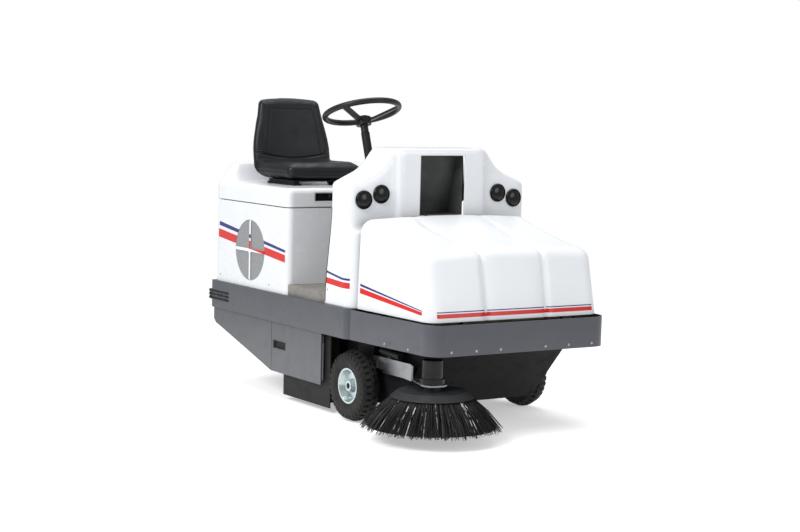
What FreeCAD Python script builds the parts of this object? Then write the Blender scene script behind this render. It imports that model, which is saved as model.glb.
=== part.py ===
"""Ride-on sweeper: three wheels, a front hopper under a ribbed hood, a cylindrical main brush,
one side brush, and a driver's station over the battery compartment.

Modelled in millimetres with the ground at z = 0, the centre plane at x = 0, the front towards -Y
and the driver's right towards -X, then moved so that the origin is the middle of its base.
"""
import FreeCAD, Part

import os
from math import atan2, degrees, hypot, radians, sin, tan

# ---------------------------------------------------------------- driving dimensions
# Wheels
tyre_diameter = 300
tyre_width = 85
rim_diameter = 150
hub_diameter = 60
axle_diameter = 25
front_axle_y = -100
wheel_outer_x = 478
rear_wheel_y = 950
rear_tyre_width = 90

# Grey chassis rails
rail_half_width = 477
rail_bottom = 345
rail_top = 474
rail_front = -105
rail_rear = 1135
rail_flange = 45
rail_nose_radius = 40
rail_steel = 4
sheet = 3

# Lower side: door in front, fixed panel behind, rubber flap inside
panel_outer_x = 465
door_front = 130
door_rear = 568
door_bottom = 119
panel_rear_low = 1116
panel_rear_z = 272
door_gap = 3
flap_outer_x = 444
flap_thickness = 5
flap_front = 85
flap_rear = 490
flap_bottom = 22

# Seat compartment and its lid
body_half_width = 463
body_front = 444
body_rear = 1130
body_top = 861
shell = 5
vent_y = 791
vent_z = 643
vent_radius = 139
vent_clearance = 1
lid_seam = 4
lid_top = 945
lid_hump_top = 1031
lid_hump_front = 1055
lid_skirt_radius = 30
grip_width = 180
grip_height = 36
grip_depth = 22
grip_x = -200

# Fairing in front of the driver
fairing_front = -100
fairing_rear = 110
fairing_corner = 50
shoulder_set_back = 37
step_z = 800
shoulder_z = 960
tower_top = 1143
tower_half_width = 222
window_half_width = 115
window_bottom = 856
window_top = 1114
liner_depth = 130
lamp_radius = 40

# Hopper, bumper and hood
bumper_front = -689
bumper_rear = -108
bumper_rear_half = 468
bumper_front_half = 440
bumper_corner = 75
bumper_bottom = 346
bumper_top = 471
tub_half_width = 352
tub_floor = 80
tub_rear = 100
tub_mouth_top = 335
hood_bottom = 476
hood_rear = -120
hood_front = -645
hood_lean = 52
hood_front_top = 757
hood_rear_top = 863
hood_corner = 62
pivot_y = -138
pivot_z = 832
pivot_pin_radius = 10
pivot_x = 160

# Brushes
main_brush_radius = 135
main_brush_y = 300
main_brush_clear = 5
main_brush_half_length = 340
arm_pivot_y = 515
arm_pivot_z = 255
side_brush_x = -380
side_brush_y = -600
side_disc_radius = 168
side_tip_radius = 290
side_disc_z = 190
side_tip_z = 45
side_arm_pivot_y = -185
side_arm_pivot_z = 262

# Driver's station
station_x = -150
floor_top = 520
wheel_rim_radius = 165
wheel_rim_tube = 13
wheel_centre_y = 350
wheel_centre_z = 1288
column_tilt = 19
spoke_width = 28
spoke_thickness = 9
spoke_rise = 44
spoke_run = 141
column_radius = 19
seat_width = 420
seat_front = 625
seat_base_z = 968
cushion_top = 1055
back_base_y = 978
back_top_z = 1345
back_recline = 12
slide_width = 320
slide_front = 630
slide_rear = 880

# Clearances
running = 0.05
soft_gap = 0.3
joint_gap = 1


# ---------------------------------------------------------------- shape helpers
def spot(plane, u, v, w=0.0):
    """A point of the named plane, w away from it."""
    order = {"xy": (u, v, w), "yz": (w, u, v), "xz": (u, w, v)}
    return FreeCAD.Vector(*order[plane])


def outline(points, plane, level):
    """Closed wire through (u, v) or (u, v, radius) corners, with arcs at the radiused ones."""
    count = len(points)
    starts, ends, middles = [], [], []
    for i, point in enumerate(points):
        here = FreeCAD.Vector(point[0], point[1], 0)
        radius = point[2] if len(point) > 2 else 0
        before = FreeCAD.Vector(*points[i - 1][:2], 0).sub(here).normalize()
        after = FreeCAD.Vector(*points[(i + 1) % count][:2], 0).sub(here).normalize()
        half = before.getAngle(after) / 2
        back = radius / tan(half) if radius else 0
        starts.append(here + before * back)
        ends.append(here + after * back)
        bisector = (before + after).normalize() if radius else FreeCAD.Vector()
        middles.append(here + bisector * (radius / sin(half) - radius) if radius else here)
    edges = []
    for i in range(count):
        a, b, c = (spot(plane, p.x, p.y, level) for p in (starts[i], middles[i], ends[i]))
        if a.distanceToPoint(c) > 1e-6:
            edges.append(Part.Arc(a, b, c).toShape())
        nxt = starts[(i + 1) % count]
        d = spot(plane, nxt.x, nxt.y, level)
        if c.distanceToPoint(d) > 1e-6:
            edges.append(Part.LineSegment(c, d).toShape())
    return Part.Wire(edges)


def prism(points, plane, low, high):
    """Outline extruded along the plane's normal from low to high."""
    return Part.Face(outline(points, plane, low)).extrude(spot(plane, 0, 0, high - low))


def box(x0, x1, y0, y1, z0, z1):
    """Box between two corners."""
    return Part.makeBox(x1 - x0, y1 - y0, z1 - z0, FreeCAD.Vector(x0, y0, z0))


def rod(start, end, radius):
    """Cylinder from start to end."""
    a, b = FreeCAD.Vector(*start), FreeCAD.Vector(*end)
    return Part.makeCylinder(radius, a.distanceToPoint(b), a, b - a)


def pipe(start, end, outer, inner):
    """Tube from start to end."""
    return rod(start, end, outer).cut(rod(start, end, inner))


def mirrored(shape):
    """Copy on the other side of the centre plane."""
    return shape.mirror(FreeCAD.Vector(0, 0, 0), FreeCAD.Vector(1, 0, 0))


def join(first, *others):
    """Union of shapes without seams."""
    return first.multiFuse(list(others)).removeSplitter()


def group(*shapes):
    """Separate solids kept together in one node."""
    return Part.makeCompound([solid for shape in shapes for solid in shape.Solids])


# ---------------------------------------------------------------- chassis
def side_rail():
    """C-section rail of the driver's right side, with its nose turned inwards."""
    def slab(inset, inner, low, high):
        edge = -(rail_half_width - inset)
        front = rail_front + inset
        corners = [(edge, front, rail_nose_radius - inset), (edge, rail_rear - inset),
                   (inner, rail_rear - inset), (inner, front)]
        return prism(corners, "xy", low, high)
    inner_edge = -(rail_half_width - rail_flange)
    hollow = slab(rail_steel, inner_edge + 1, rail_bottom + rail_steel, rail_top - rail_steel)
    return slab(0, inner_edge, rail_bottom, rail_top).cut(hollow)


def rear_rail():
    """C-section across the back, between the side rails, with the towing lug under it."""
    inside = rail_half_width - rail_flange
    low = panel_rear_z + 16
    channel = [(rail_rear, low), (rail_rear, rail_top), (rail_rear - rail_flange, rail_top),
               (rail_rear - rail_flange, rail_top - rail_steel),
               (rail_rear - rail_steel, rail_top - rail_steel),
               (rail_rear - rail_steel, low + rail_steel),
               (rail_rear - rail_flange, low + rail_steel), (rail_rear - rail_flange, low)]
    lug = prism([(rail_rear, eye_z - eye_lug), (rail_rear + eye_lug, eye_z - eye_lug, 12),
                 (rail_rear + eye_lug, eye_z + eye_lug, 12), (rail_rear, eye_z + eye_lug)],
                "yz", -eye_thickness / 2, eye_thickness / 2)
    hole = rod((-eye_thickness, eye_y, eye_z), (eye_thickness, eye_y, eye_z), eye_radius)
    return join(prism(channel, "yz", -inside, inside), lug).cut(hole)


eye_radius = 11
eye_lug = 28
eye_thickness = 12
eye_y = rail_rear + 14
eye_z = panel_rear_z + 60
rail_inside = rail_half_width - rail_steel


def cross_member(y0, y1):
    """Box tube between the two rail webs, standing on their lower flanges."""
    low = rail_bottom + rail_steel
    tube = box(-rail_inside, rail_inside, y0, y1, low, low + cross_height)
    return tube.cut(box(-rail_inside, rail_inside, y0 + sheet, y1 - sheet, low + sheet,
                        low + cross_height - sheet))


cross_height = 45
cross_width = 50
front_cross_y = fairing_rear - cross_width
turntable_length = 220
turntable_thickness = 10
turntable_z = rail_bottom + rail_steel
spindle_radius = 25
spindle_flange = 70


def turntable_plate():
    """Thick plate across the rails that carries the steered wheel's spindle in a bushed hole."""
    y0, y1 = rear_wheel_y - turntable_length / 2, rear_wheel_y + turntable_length / 2
    plate = box(-rail_inside, rail_inside, y0, y1, turntable_z, turntable_z + turntable_thickness)
    boss = rod((0, rear_wheel_y, turntable_z), (0, rear_wheel_y, turntable_z + 2 * turntable_thickness),
               spindle_radius + 15)
    hole = rod((0, rear_wheel_y, 0), (0, rear_wheel_y, rail_top), spindle_radius + running)
    return join(plate, boss).cut(hole)


def lower_panel():
    """Fixed lower panel behind the door, on the driver's right."""
    front = door_rear + door_gap
    slope = (panel_rear_z - door_bottom) / (panel_rear_low - front)
    points = [(front, rail_bottom), (rail_rear, rail_bottom), (rail_rear, panel_rear_z + 16, 8),
              (panel_rear_low, panel_rear_z, 20), (front + 12, door_bottom + 12 * slope, 10),
              (front, door_bottom)]
    flange = box(-panel_outer_x, -panel_outer_x + panel_flange, front, rail_rear - rail_steel,
                 rail_bottom - sheet, rail_bottom)
    return join(prism(points, "yz", -panel_outer_x, -panel_outer_x + sheet), flange)


panel_flange = 30
handle_front = 444
handle_rear = 551
handle_bottom = 226
handle_top = 260
handle_depth = 14
hinge_radius = 6
hinge_y = door_front + 4
hinge_x = -(panel_outer_x - 2 * hinge_radius)


def door():
    """Hinged lower door of the driver's right with a recessed pull and its hinge barrel."""
    face = prism([(door_front, door_bottom), (door_rear, door_bottom), (door_rear, rail_bottom - joint_gap),
                  (door_front, rail_bottom - joint_gap)], "yz", -panel_outer_x, -panel_outer_x + sheet)
    cup = box(-panel_outer_x, -panel_outer_x + handle_depth, handle_front - sheet, handle_rear + sheet,
              handle_bottom - sheet, handle_top + sheet)
    well = box(-panel_outer_x - 1, -panel_outer_x + handle_depth - sheet, handle_front, handle_rear,
               handle_bottom, handle_top)
    leaf = box(-panel_outer_x, hinge_x, hinge_y - 2, hinge_y + 2, door_bottom + 20, door_bottom + 180)
    barrel = rod((hinge_x, hinge_y, door_bottom + 20), (hinge_x, hinge_y, door_bottom + 180), hinge_radius)
    solid = join(face, cup, leaf, barrel).cut(well)
    return solid.cut(rod((hinge_x, hinge_y, 0), (hinge_x, hinge_y, rail_top), hinge_pin_radius + running))


hinge_pin_radius = 3


def hinge_pin():
    """Pin of the door hinge, hung from the rail's lower flange."""
    return rod((hinge_x, hinge_y, door_bottom + 15), (hinge_x, hinge_y, rail_bottom), hinge_pin_radius)


def rear_bumpers():
    """Rubber corner buffers that wrap the ends of the rear rail."""
    low, high, proud, reach = 379, 431, 30, 170
    outer = [(-rail_half_width - 4, rail_rear - reach, 3), (-rail_half_width - 4, rail_rear + proud, 24),
             (-rail_half_width + 110, rail_rear + proud, 12), (-rail_half_width + 110, rail_rear),
             (-rail_half_width, rail_rear), (-rail_half_width, rail_rear - reach)]
    right = prism(outer, "xy", low, high)
    return group(right, mirrored(right))


housing_half_width = 380
housing_front = 120
housing_rear = 575
housing_top = rail_bottom - 3
housing_skirt = 60


def brush_housing():
    """Sheet tunnel over the main brush, open below and in front."""
    outer = box(-housing_half_width, housing_half_width, housing_front, housing_rear, housing_skirt, housing_top)
    inner = box(-housing_half_width + sheet, housing_half_width - sheet, housing_front - 1,
                housing_rear - sheet, housing_skirt - 1, housing_top - sheet)
    shelf = box(-flap_outer_x + flap_thickness, flap_outer_x - flap_thickness, flap_front + 60, flap_rear,
                housing_top - sheet, housing_top)
    under_flange = rail_half_width - 27
    hanger = box(-under_flange, under_flange, front_cross_y + 100, front_cross_y + 140, housing_top, rail_bottom)
    pins = [rod((side * (housing_half_width - sheet), arm_pivot_y, arm_pivot_z),
                (side * (housing_half_width - sheet - 24), arm_pivot_y, arm_pivot_z), 10) for side in (-1, 1)]
    return join(outer.cut(inner), shelf, hanger, *pins)


def flaps():
    """Both side skirts."""
    blade = box(-flap_outer_x, -flap_outer_x + flap_thickness, flap_front, flap_rear, flap_bottom, housing_top)
    return group(blade, mirrored(blade))


bracket_x = 372
bracket_plate = 10


def wheel_bracket():
    """Plate hung from the rail with the stub axle of the front wheel, driver's right."""
    plate = prism([(front_axle_y - 70, rail_bottom), (front_axle_y + 70, rail_bottom),
                   (front_axle_y + 28, tyre_diameter / 2 - 30, 20), (front_axle_y - 28, tyre_diameter / 2 - 30, 20)],
                  "yz", -bracket_x - bracket_plate, -bracket_x)
    foot_front, foot_rear = rail_front + rail_nose_radius, front_axle_y + 70
    foot = box(-rail_half_width + rail_flange + 2, -bracket_x, foot_front, foot_rear,
               rail_bottom, rail_bottom + rail_steel)
    foot = foot.fuse(box(-rail_inside, -bracket_x, foot_front, foot_rear,
                         rail_bottom + rail_steel, rail_bottom + 2 * rail_steel))
    axle = rod((-bracket_x, front_axle_y, tyre_diameter / 2),
               (-wheel_outer_x + 12, front_axle_y, tyre_diameter / 2), axle_diameter / 2)
    return join(plate, foot, axle)


def side_brush_pivot():
    """Boss and pin on the hopper's right side that carry the side brush arm."""
    y, z = side_arm_pivot_y, side_arm_pivot_z
    boss = rod((-tub_half_width, y, z), (-side_bar_x + joint_gap, y, z), 18)
    return join(boss, rod((-tub_half_width, y, z), (-side_bar_x - side_arm_thickness - 2, y, z), side_pin_radius))


side_bar_x = 380
side_pin_radius = 8
side_arm_thickness = 8


# ---------------------------------------------------------------- wheels
def tyre(centre_x, y, width):
    """Solid rubber tyre with rounded shoulders, its bore on the rim."""
    outer, inner = tyre_diameter / 2, rim_diameter / 2
    section = [(centre_x - width / 2, inner), (centre_x - width / 2, outer, 14),
               (centre_x + width / 2, outer, 14), (centre_x + width / 2, inner)]
    face = Part.Face(outline(section, "xz", 0))
    ring = face.revolve(FreeCAD.Vector(0, 0, 0), FreeCAD.Vector(1, 0, 0), 360)
    return ring.translate(FreeCAD.Vector(0, y, tyre_diameter / 2))


def rim(outer_x, inner_x, y, bore):
    """Pressed dished wheel disc with a hub barrel that runs on the axle."""
    sign = 1 if outer_x > inner_x else -1
    radius = rim_diameter / 2
    edge = outer_x - sign * 8
    dish = outer_x - sign * 34
    section = [(edge, radius), (inner_x + sign * 8, radius), (inner_x + sign * 8, radius - 6),
               (dish - sign * 5, radius - 6), (dish - sign * 5, hub_diameter / 2),
               (inner_x + sign * 4, hub_diameter / 2), (inner_x + sign * 4, bore + running),
               (outer_x - sign * 12, bore + running), (outer_x - sign * 12, hub_diameter / 2 - 8),
               (dish, hub_diameter / 2), (dish, radius - 22), (edge, radius - 8)]
    face = Part.Face(outline(section, "xz", 0))
    disc = face.revolve(FreeCAD.Vector(0, 0, 0), FreeCAD.Vector(1, 0, 0), 360)
    return disc.translate(FreeCAD.Vector(0, y, tyre_diameter / 2))


fork_gap = 8
fork_plate = 12
crown_z = tyre_diameter + 12
link_z = turntable_z + 2 * turntable_thickness + 14
link_arm = 90
link_pin = 8


def steering_fork():
    """Fork over the steered wheel, with its axle, spindle, washer flange and steering arm."""
    half = rear_tyre_width / 2 + fork_gap
    crown = box(-half - fork_plate, half + fork_plate, rear_wheel_y - 60, rear_wheel_y + 60, crown_z,
                crown_z + fork_plate)
    legs = [prism([(rear_wheel_y - 60, crown_z), (rear_wheel_y + 60, crown_z),
                   (rear_wheel_y + 24, tyre_diameter / 2 - 24, 20), (rear_wheel_y - 24, tyre_diameter / 2 - 24, 20)],
                  "yz", x0, x0 + fork_plate) for x0 in (-half - fork_plate, half)]
    axle = rod((-half - fork_plate, rear_wheel_y, tyre_diameter / 2),
               (half + fork_plate, rear_wheel_y, tyre_diameter / 2), axle_diameter / 2)
    flange = rod((0, rear_wheel_y, crown_z), (0, rear_wheel_y, turntable_z - joint_gap), spindle_flange)
    spindle = rod((0, rear_wheel_y, crown_z), (0, rear_wheel_y, link_z + 8), spindle_radius)
    arm = prism([(-link_arm - 16, rear_wheel_y - 16, 15), (0, rear_wheel_y - 22), (0, rear_wheel_y + 22),
                 (-link_arm - 16, rear_wheel_y + 16, 15)], "xy", link_z, link_z + 8)
    pin_hole = rod((-link_arm, rear_wheel_y, 0), (-link_arm, rear_wheel_y, rail_top + 50), link_pin + running)
    return join(crown, *legs, axle, flange, spindle, arm).cut(pin_hole)


def drive_motor():
    """Traction motor bolted to the fork's left leg."""
    inner = rear_tyre_width / 2 + fork_gap + fork_plate
    y, z = rear_wheel_y, tyre_diameter / 2 + 10
    return join(rod((inner, y, z), (inner + 110, y, z), 58), rod((inner + 110, y, z), (inner + 122, y, z), 30))


pitman_y = 216
pitman_pin = 12


def pitman_arm():
    """Arm under the steering box that pulls the drag link."""
    arm = prism([(station_x - link_arm - 16, pitman_y - 16, 15), (station_x + 20, pitman_y - 20, 19),
                 (station_x + 20, pitman_y + 20, 19), (station_x - link_arm - 16, pitman_y + 16, 15)],
                "xy", link_z, link_z + 8)
    shaft = rod((station_x, pitman_y, link_z), (station_x, pitman_y, link_z + 30), pitman_pin)
    hole = rod((station_x - link_arm, pitman_y, 0), (station_x - link_arm, pitman_y, rail_top), link_pin + running)
    return join(arm, shaft).cut(hole)


def drag_link():
    """Rod between the two steering arms, a pin turned up at each end, lying under the arms."""
    a = FreeCAD.Vector(station_x - link_arm, pitman_y, link_z - 10)
    b = FreeCAD.Vector(-link_arm, rear_wheel_y, link_z - 10)
    parts = [Part.makeCylinder(9, a.distanceToPoint(b), a, b - a)]
    for end, radius in ((a, link_pin), (b, link_pin - link_slack)):
        parts.append(rod((end.x, end.y, link_z - 19), (end.x, end.y, link_z - joint_gap), 13))
        parts.append(rod((end.x, end.y, link_z - 19), (end.x, end.y, link_z + 12), radius))
    return join(*parts)


link_slack = 0.5


# ---------------------------------------------------------------- brushes
def brush_arms():
    """Pair of arms on the housing's pins that carry the main brush shaft, with a cross tube."""
    x0 = main_brush_half_length + 12
    reach = (main_brush_y, main_brush_radius + main_brush_clear)
    parts = []
    for side in (-1, 1):
        a, b = sorted((side * x0, side * (x0 + 8)))
        length = hypot(arm_pivot_y - reach[0], arm_pivot_z - reach[1])
        bar = box(a, b, 0, length, -16, 16)
        turn = degrees(atan2(arm_pivot_z - reach[1], arm_pivot_y - reach[0]))
        bar = bar.rotate(FreeCAD.Vector(0, 0, 0), FreeCAD.Vector(1, 0, 0), turn)
        bar = bar.translate(FreeCAD.Vector(0, reach[0], reach[1]))
        ends = [rod((a, y, z), (b, y, z), 24) for y, z in (reach, (arm_pivot_y, arm_pivot_z))]
        pin = rod((a - 1, arm_pivot_y, arm_pivot_z), (b + 1, arm_pivot_y, arm_pivot_z), 10 + running)
        stub = rod((a - 1, *reach), (b + 1, *reach), 12 + running)
        parts.append(join(bar, *ends).cut(pin).cut(stub))
    tube = pipe((-x0, arm_pivot_y + 14, arm_pivot_z + 38), (x0, arm_pivot_y + 14, arm_pivot_z + 38), 10, 7)
    webs = [box(min(side * x0, side * (x0 + 8)), max(side * x0, side * (x0 + 8)), arm_pivot_y + 2,
                arm_pivot_y + 26, arm_pivot_z + 16, arm_pivot_z + 50) for side in (-1, 1)]
    return join(parts[0], parts[1], *webs, tube)


def brush_motor():
    """Brush motor under the cross tube, its pulley, and the belt down to the brush."""
    y, z = arm_pivot_y, arm_pivot_z
    body = rod((130, y, z), (300, y, z), 26)
    strap = prism([(y - 10, z + 20), (y + 26, z + 20), (y + 26, z + 28), (y - 10, z + 28)], "yz", 180, 220)
    pulley = rod((300, y, z), (main_brush_half_length + 8, y, z), 16)
    return join(body, strap, pulley)


def main_brush():
    """Brush core on its shaft with the sweeping bristles as one sleeve."""
    y, z = main_brush_y, main_brush_radius + main_brush_clear
    length = main_brush_half_length
    sleeve = rod((-length, y, z), (length, y, z), main_brush_radius)
    shaft = rod((-length - 24, y, z), (length + 24, y, z), 12)
    return join(sleeve, shaft)


def side_brush_arm():
    """Zinc-plated bar and plate that carry the side brush motor, pivoting on the wheel bracket."""
    x0 = -side_bar_x
    bar_end = side_brush_y + 140
    low, high = side_arm_pivot_z - 24, side_arm_pivot_z + 24
    bar = prism([(side_arm_pivot_y + 26, low, 20), (side_arm_pivot_y + 26, high, 20),
                 (bar_end, high, 8), (bar_end, low - 20)], "yz", x0 - side_arm_thickness, x0)
    plate_z = side_plate_z
    plate = prism([(x0 - side_arm_thickness, side_arm_pivot_y - 60), (x0 + 4, side_arm_pivot_y - 60), (x0 + 24, bar_end),
                   (side_brush_x + 52, side_brush_y, 40), (side_brush_x + 52, side_brush_y - 56, 40),
                   (side_brush_x - 52, side_brush_y - 56, 40), (side_brush_x - 52, side_brush_y, 30),
                   (x0 - side_arm_thickness, bar_end)], "xy", plate_z, plate_z + 6)
    web = box(x0 - side_arm_thickness, x0, bar_end, bar_end + 120, plate_z, low)
    hole = rod((x0 - 20, side_arm_pivot_y, side_arm_pivot_z), (x0 + 20, side_arm_pivot_y, side_arm_pivot_z),
               side_pin_radius + running)
    shaft_hole = rod((side_brush_x, side_brush_y, 0), (side_brush_x, side_brush_y, 400), 20)
    return join(bar, plate, web).cut(hole).cut(shaft_hole)


side_plate_z = 222


def side_brush_motor():
    """Gear motor standing on the arm's plate, with its output shaft."""
    base = side_plate_z + 6
    return join(rod((side_brush_x, side_brush_y, base), (side_brush_x, side_brush_y, base + 22), 50),
                rod((side_brush_x, side_brush_y, base), (side_brush_x, side_brush_y, base + 96), 42),
                rod((side_brush_x, side_brush_y, side_disc_z + 4), (side_brush_x, side_brush_y, base), 10))


def lift_actuator():
    """Small electric cylinder above the arm that raises the side brush."""
    x, y, z = -side_bar_x - side_arm_thickness / 2, side_arm_pivot_y, side_arm_pivot_z
    foot = box(x - 4, x + 4, y - 120, y - 90, z + 24, z + 40)
    return join(rod((x, y - 50, z + 52), (x, y - 190, z + 44), 17), foot)


def side_brush():
    """Brush disc with its hub, and the skirt of bristles as one hollow cone."""
    hub = rod((side_brush_x, side_brush_y, side_disc_z), (side_brush_x, side_brush_y, side_plate_z - 4), 34)
    disc = Part.makeCone(side_disc_radius, side_disc_radius - 30, 24,
                         FreeCAD.Vector(side_brush_x, side_brush_y, side_disc_z - 12))
    bore = rod((side_brush_x, side_brush_y, side_disc_z + 4 - joint_gap), (side_brush_x, side_brush_y, side_plate_z), 10 + running)
    wall = 40
    outer = Part.makeCone(side_tip_radius, side_disc_radius - 4, side_disc_z - 12 - side_tip_z,
                          FreeCAD.Vector(side_brush_x, side_brush_y, side_tip_z))
    inner = Part.makeCone(side_tip_radius - wall - 20, side_disc_radius - wall, side_disc_z - 12 - side_tip_z,
                          FreeCAD.Vector(side_brush_x, side_brush_y, side_tip_z))
    return join(disc, hub).cut(bore), outer.cut(inner)


# ---------------------------------------------------------------- hopper
def bumper_plan(inset):
    """Corners of the front bumper's plan, drawn in from its outer face."""
    return [(-bumper_rear_half + inset, bumper_rear), (-bumper_front_half + inset, bumper_front + inset, bumper_corner - inset),
            (bumper_front_half - inset, bumper_front + inset, bumper_corner - inset),
            (bumper_rear_half - inset, bumper_rear)]


def front_bumper():
    """Pressed steel bumper round the hopper, with a lip along its top edge."""
    outer = prism(bumper_plan(0), "xy", bumper_bottom, bumper_top)
    inside = bumper_plan(rail_steel)
    inside[0], inside[3] = (inside[0][0], bumper_rear + 1), (inside[3][0], bumper_rear + 1)
    lip = bumper_plan(bumper_lip)
    lip[0], lip[3] = (lip[0][0], bumper_rear + 1), (lip[3][0], bumper_rear + 1)
    return outer.cut(prism(inside, "xy", bumper_bottom - 1, bumper_top - rail_steel)).cut(
        prism(lip, "xy", bumper_bottom, bumper_top + 1))


bumper_lip = 5
tub_top = bumper_top - 20
tub_steel = 4
tub_front_top = -530
tub_front_low = -290


def hopper_tub():
    """Dust hopper: sloping front, mouth at the back low down, flange out to the bumper, pivot arms."""
    def profile(inset, mouth):
        return [(tub_rear + mouth, tub_floor + inset), (tub_rear + mouth, tub_mouth_top - inset),
                (bumper_rear - 15 - inset, tub_mouth_top - inset), (bumper_rear - 15 - inset, tub_top + mouth),
                (tub_front_top + inset, tub_top + mouth), (tub_front_top + inset, bumper_bottom + inset / 2),
                (tub_front_low + inset, tub_floor + inset)]
    outer = prism(profile(0, 0), "yz", -tub_half_width, tub_half_width)
    inner = prism(profile(tub_steel, 1), "yz", -tub_half_width + tub_steel, tub_half_width - tub_steel)
    flange = prism(bumper_plan(rail_steel + soft_gap), "xy", tub_top - tub_steel, tub_top)
    opening = box(-tub_half_width + tub_steel, tub_half_width - tub_steel, tub_front_top + tub_steel,
                  bumper_rear - 15 - tub_steel, tub_top - 2 * tub_steel, tub_top + 1)
    tub = join(outer.cut(inner), flange.cut(opening))
    arms = []
    for side in (-1, 1):
        x0, x1 = sorted((side * (pivot_x + 5), side * (pivot_x + 13)))
        arm = prism([(bumper_rear - 15, tub_top), (bumper_rear - 75, tub_top), (pivot_y - 22, pivot_z + 14, 14),
                     (pivot_y + 15, pivot_z + 14, 14)], "yz", x0, x1)
        arms.append(arm.cut(rod((x0 - 1, pivot_y, pivot_z), (x1 + 1, pivot_y, pivot_z), pivot_pin_radius + running)))
    hinge = [rod((side * 250, hood_pivot_y, hood_pivot_z), (side * 330, hood_pivot_y, hood_pivot_z), hood_pin_radius)
             for side in (-1, 1)]
    posts = []
    for side in (-1, 1):
        x0, x1 = sorted((side * 250, side * 256))
        posts.append(box(x0, x1, hood_pivot_y + 8, hood_pivot_y + 24, tub_top, hood_pivot_z + 8))
        posts.append(box(x0, x1, hood_pivot_y - 6, hood_pivot_y + 24, hood_pivot_z - 6, hood_pivot_z + 8))
    return join(tub, *arms, *hinge, *posts, side_brush_pivot())


hood_pivot_y = hood_front + 22
hood_pivot_z = hood_bottom + 12
hood_pin_radius = 5


def hopper_ears():
    """Ears that stand out of the fairing's steel mast and hold the hopper's pivot pins."""
    parts = []
    for side in (-1, 1):
        x0, x1 = sorted((side * (pivot_x - 5), side * (pivot_x + 3)))
        ear = prism([(fairing_front + shell + 4, pivot_z - 60), (fairing_front + shell + 4, pivot_z - 20),
                     (pivot_y + 20, pivot_z - 20), (pivot_y + 12, pivot_z + 14, 6),
                     (pivot_y - 16, pivot_z + 14, 12), (pivot_y - 16, pivot_z - 20, 14)], "yz", x0, x1)
        pin = rod((side * (pivot_x - 5), pivot_y, pivot_z), (side * (pivot_x + 16), pivot_y, pivot_z), pivot_pin_radius)
        post = box(min(side * (pivot_x - 25), side * (pivot_x + 25)), max(side * (pivot_x - 25), side * (pivot_x + 25)),
                   fairing_front + shell + 4, fairing_front + shell + 44, rail_bottom + rail_steel + cross_height, window_bottom - 12)
        tie = box(min(side * (pivot_x - 25), side * (pivot_x + 25)), max(side * (pivot_x - 25), side * (pivot_x + 25)),
                  fairing_front + shell + 44, front_cross_y + 1, rail_bottom + rail_steel + cross_height,
                  rail_bottom + rail_steel + cross_height + 12)
        parts.append(join(post, ear, pin, tie))
    return group(*parts)


def filter_panel():
    """Dust filter on the hopper's flange."""
    half = tub_half_width + 10
    return box(-half, half, tub_front_top - 8, -230, tub_top, tub_top + 120)


def suction_fan():
    """Suction fan with its motor, standing on the filter."""
    z = tub_top + 120
    y = -380
    return join(rod((0, y, z), (0, y, z + 60), 120), rod((0, y, z + 60), (0, y, z + 130), 55))


# ---------------------------------------------------------------- covers
def hood_section(y, inset, low):
    """Half-hexagon cross-section of the hood at y, drawn in by inset."""
    t = (y - hood_front) / (hood_rear - hood_front)
    blend = lambda front, rear: front + (rear - front) * t
    right = [(blend(431, 442), low), (blend(415, 432), blend(650, 730)), (blend(390, 408), blend(708, 785)),
             (blend(345, 345), blend(735, 843)), (blend(140, 150), blend(747, 860))]
    right = [(x - inset, z - (inset if i else 0)) for i, (x, z) in enumerate(right)]
    points = [(-x, z) for x, z in right] + [(x, z) for x, z in reversed(right)]
    return Part.makePolygon([FreeCAD.Vector(x, y, z) for x, z in points + points[:1]])


def hood_solid(inset, low, back):
    """Solid inside the hood's outer skin, drawn in by inset."""
    body = Part.makeLoft([hood_section(hood_front - 20, inset, low), hood_section(back, inset, low)], True, True)
    lean = hood_lean / (hood_front_top - hood_bottom)
    front_low = hood_front + inset - lean * (hood_bottom - low)
    side = prism([(front_low, low), (hood_front + hood_lean + inset, hood_front_top + 8 - inset, hood_corner - inset),
                  (back + 1, hood_rear_top + 20), (back + 1, low)], "yz", -500, 500)
    return body.common(side)


def hood():
    """Ribbed cover of the hopper, open below and behind, with its hinge eyes."""
    skin = hood_solid(0, hood_bottom, hood_rear).cut(hood_solid(shell, hood_bottom - 1, hood_rear + 1))
    eyes = []
    for side in (-1, 1):
        x0, x1 = sorted((side * 262, side * 300))
        lug = box(x0, x1, hood_front + 6, hood_pivot_y + 10, hood_pivot_z - 10, hood_pivot_z + 10)
        eyes.append(lug.cut(rod((x0 - 1, hood_pivot_y, hood_pivot_z), (x1 + 1, hood_pivot_y, hood_pivot_z),
                                hood_pin_radius + running)))
    return join(skin, *eyes)


upper_front = fairing_front + shoulder_set_back
mast_opening = pivot_x + 35


def fairing_solid(inset, back):
    """Solid inside the fairing's outer skin: plan, then shoulders and tower seen from the front."""
    half = body_half_width - inset
    plan = [(-half, back), (-half, fairing_front + inset, fairing_corner - inset),
            (half, fairing_front + inset, fairing_corner - inset), (half, back)]
    low = rail_top - (1 if inset else 0)
    right = [(half, low), (half, shoulder_z + 30 - inset, 28), (335 - inset * 0.4, 1037 - inset, 40),
             (285 - inset, 1065 - inset, 35), (tower_half_width + 14 - inset, tower_top - inset, 40)]
    front = [(-p[0], *p[1:]) for p in right] + list(reversed(right))
    ahead = box(-half - 20, half + 20, fairing_front - 10, upper_front + inset, step_z - inset, tower_top + 20)
    whole = prism(plan, "xy", low, tower_top + 10).common(prism(front, "xz", fairing_front - 10, back + 10))
    return whole.cut(ahead)


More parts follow.
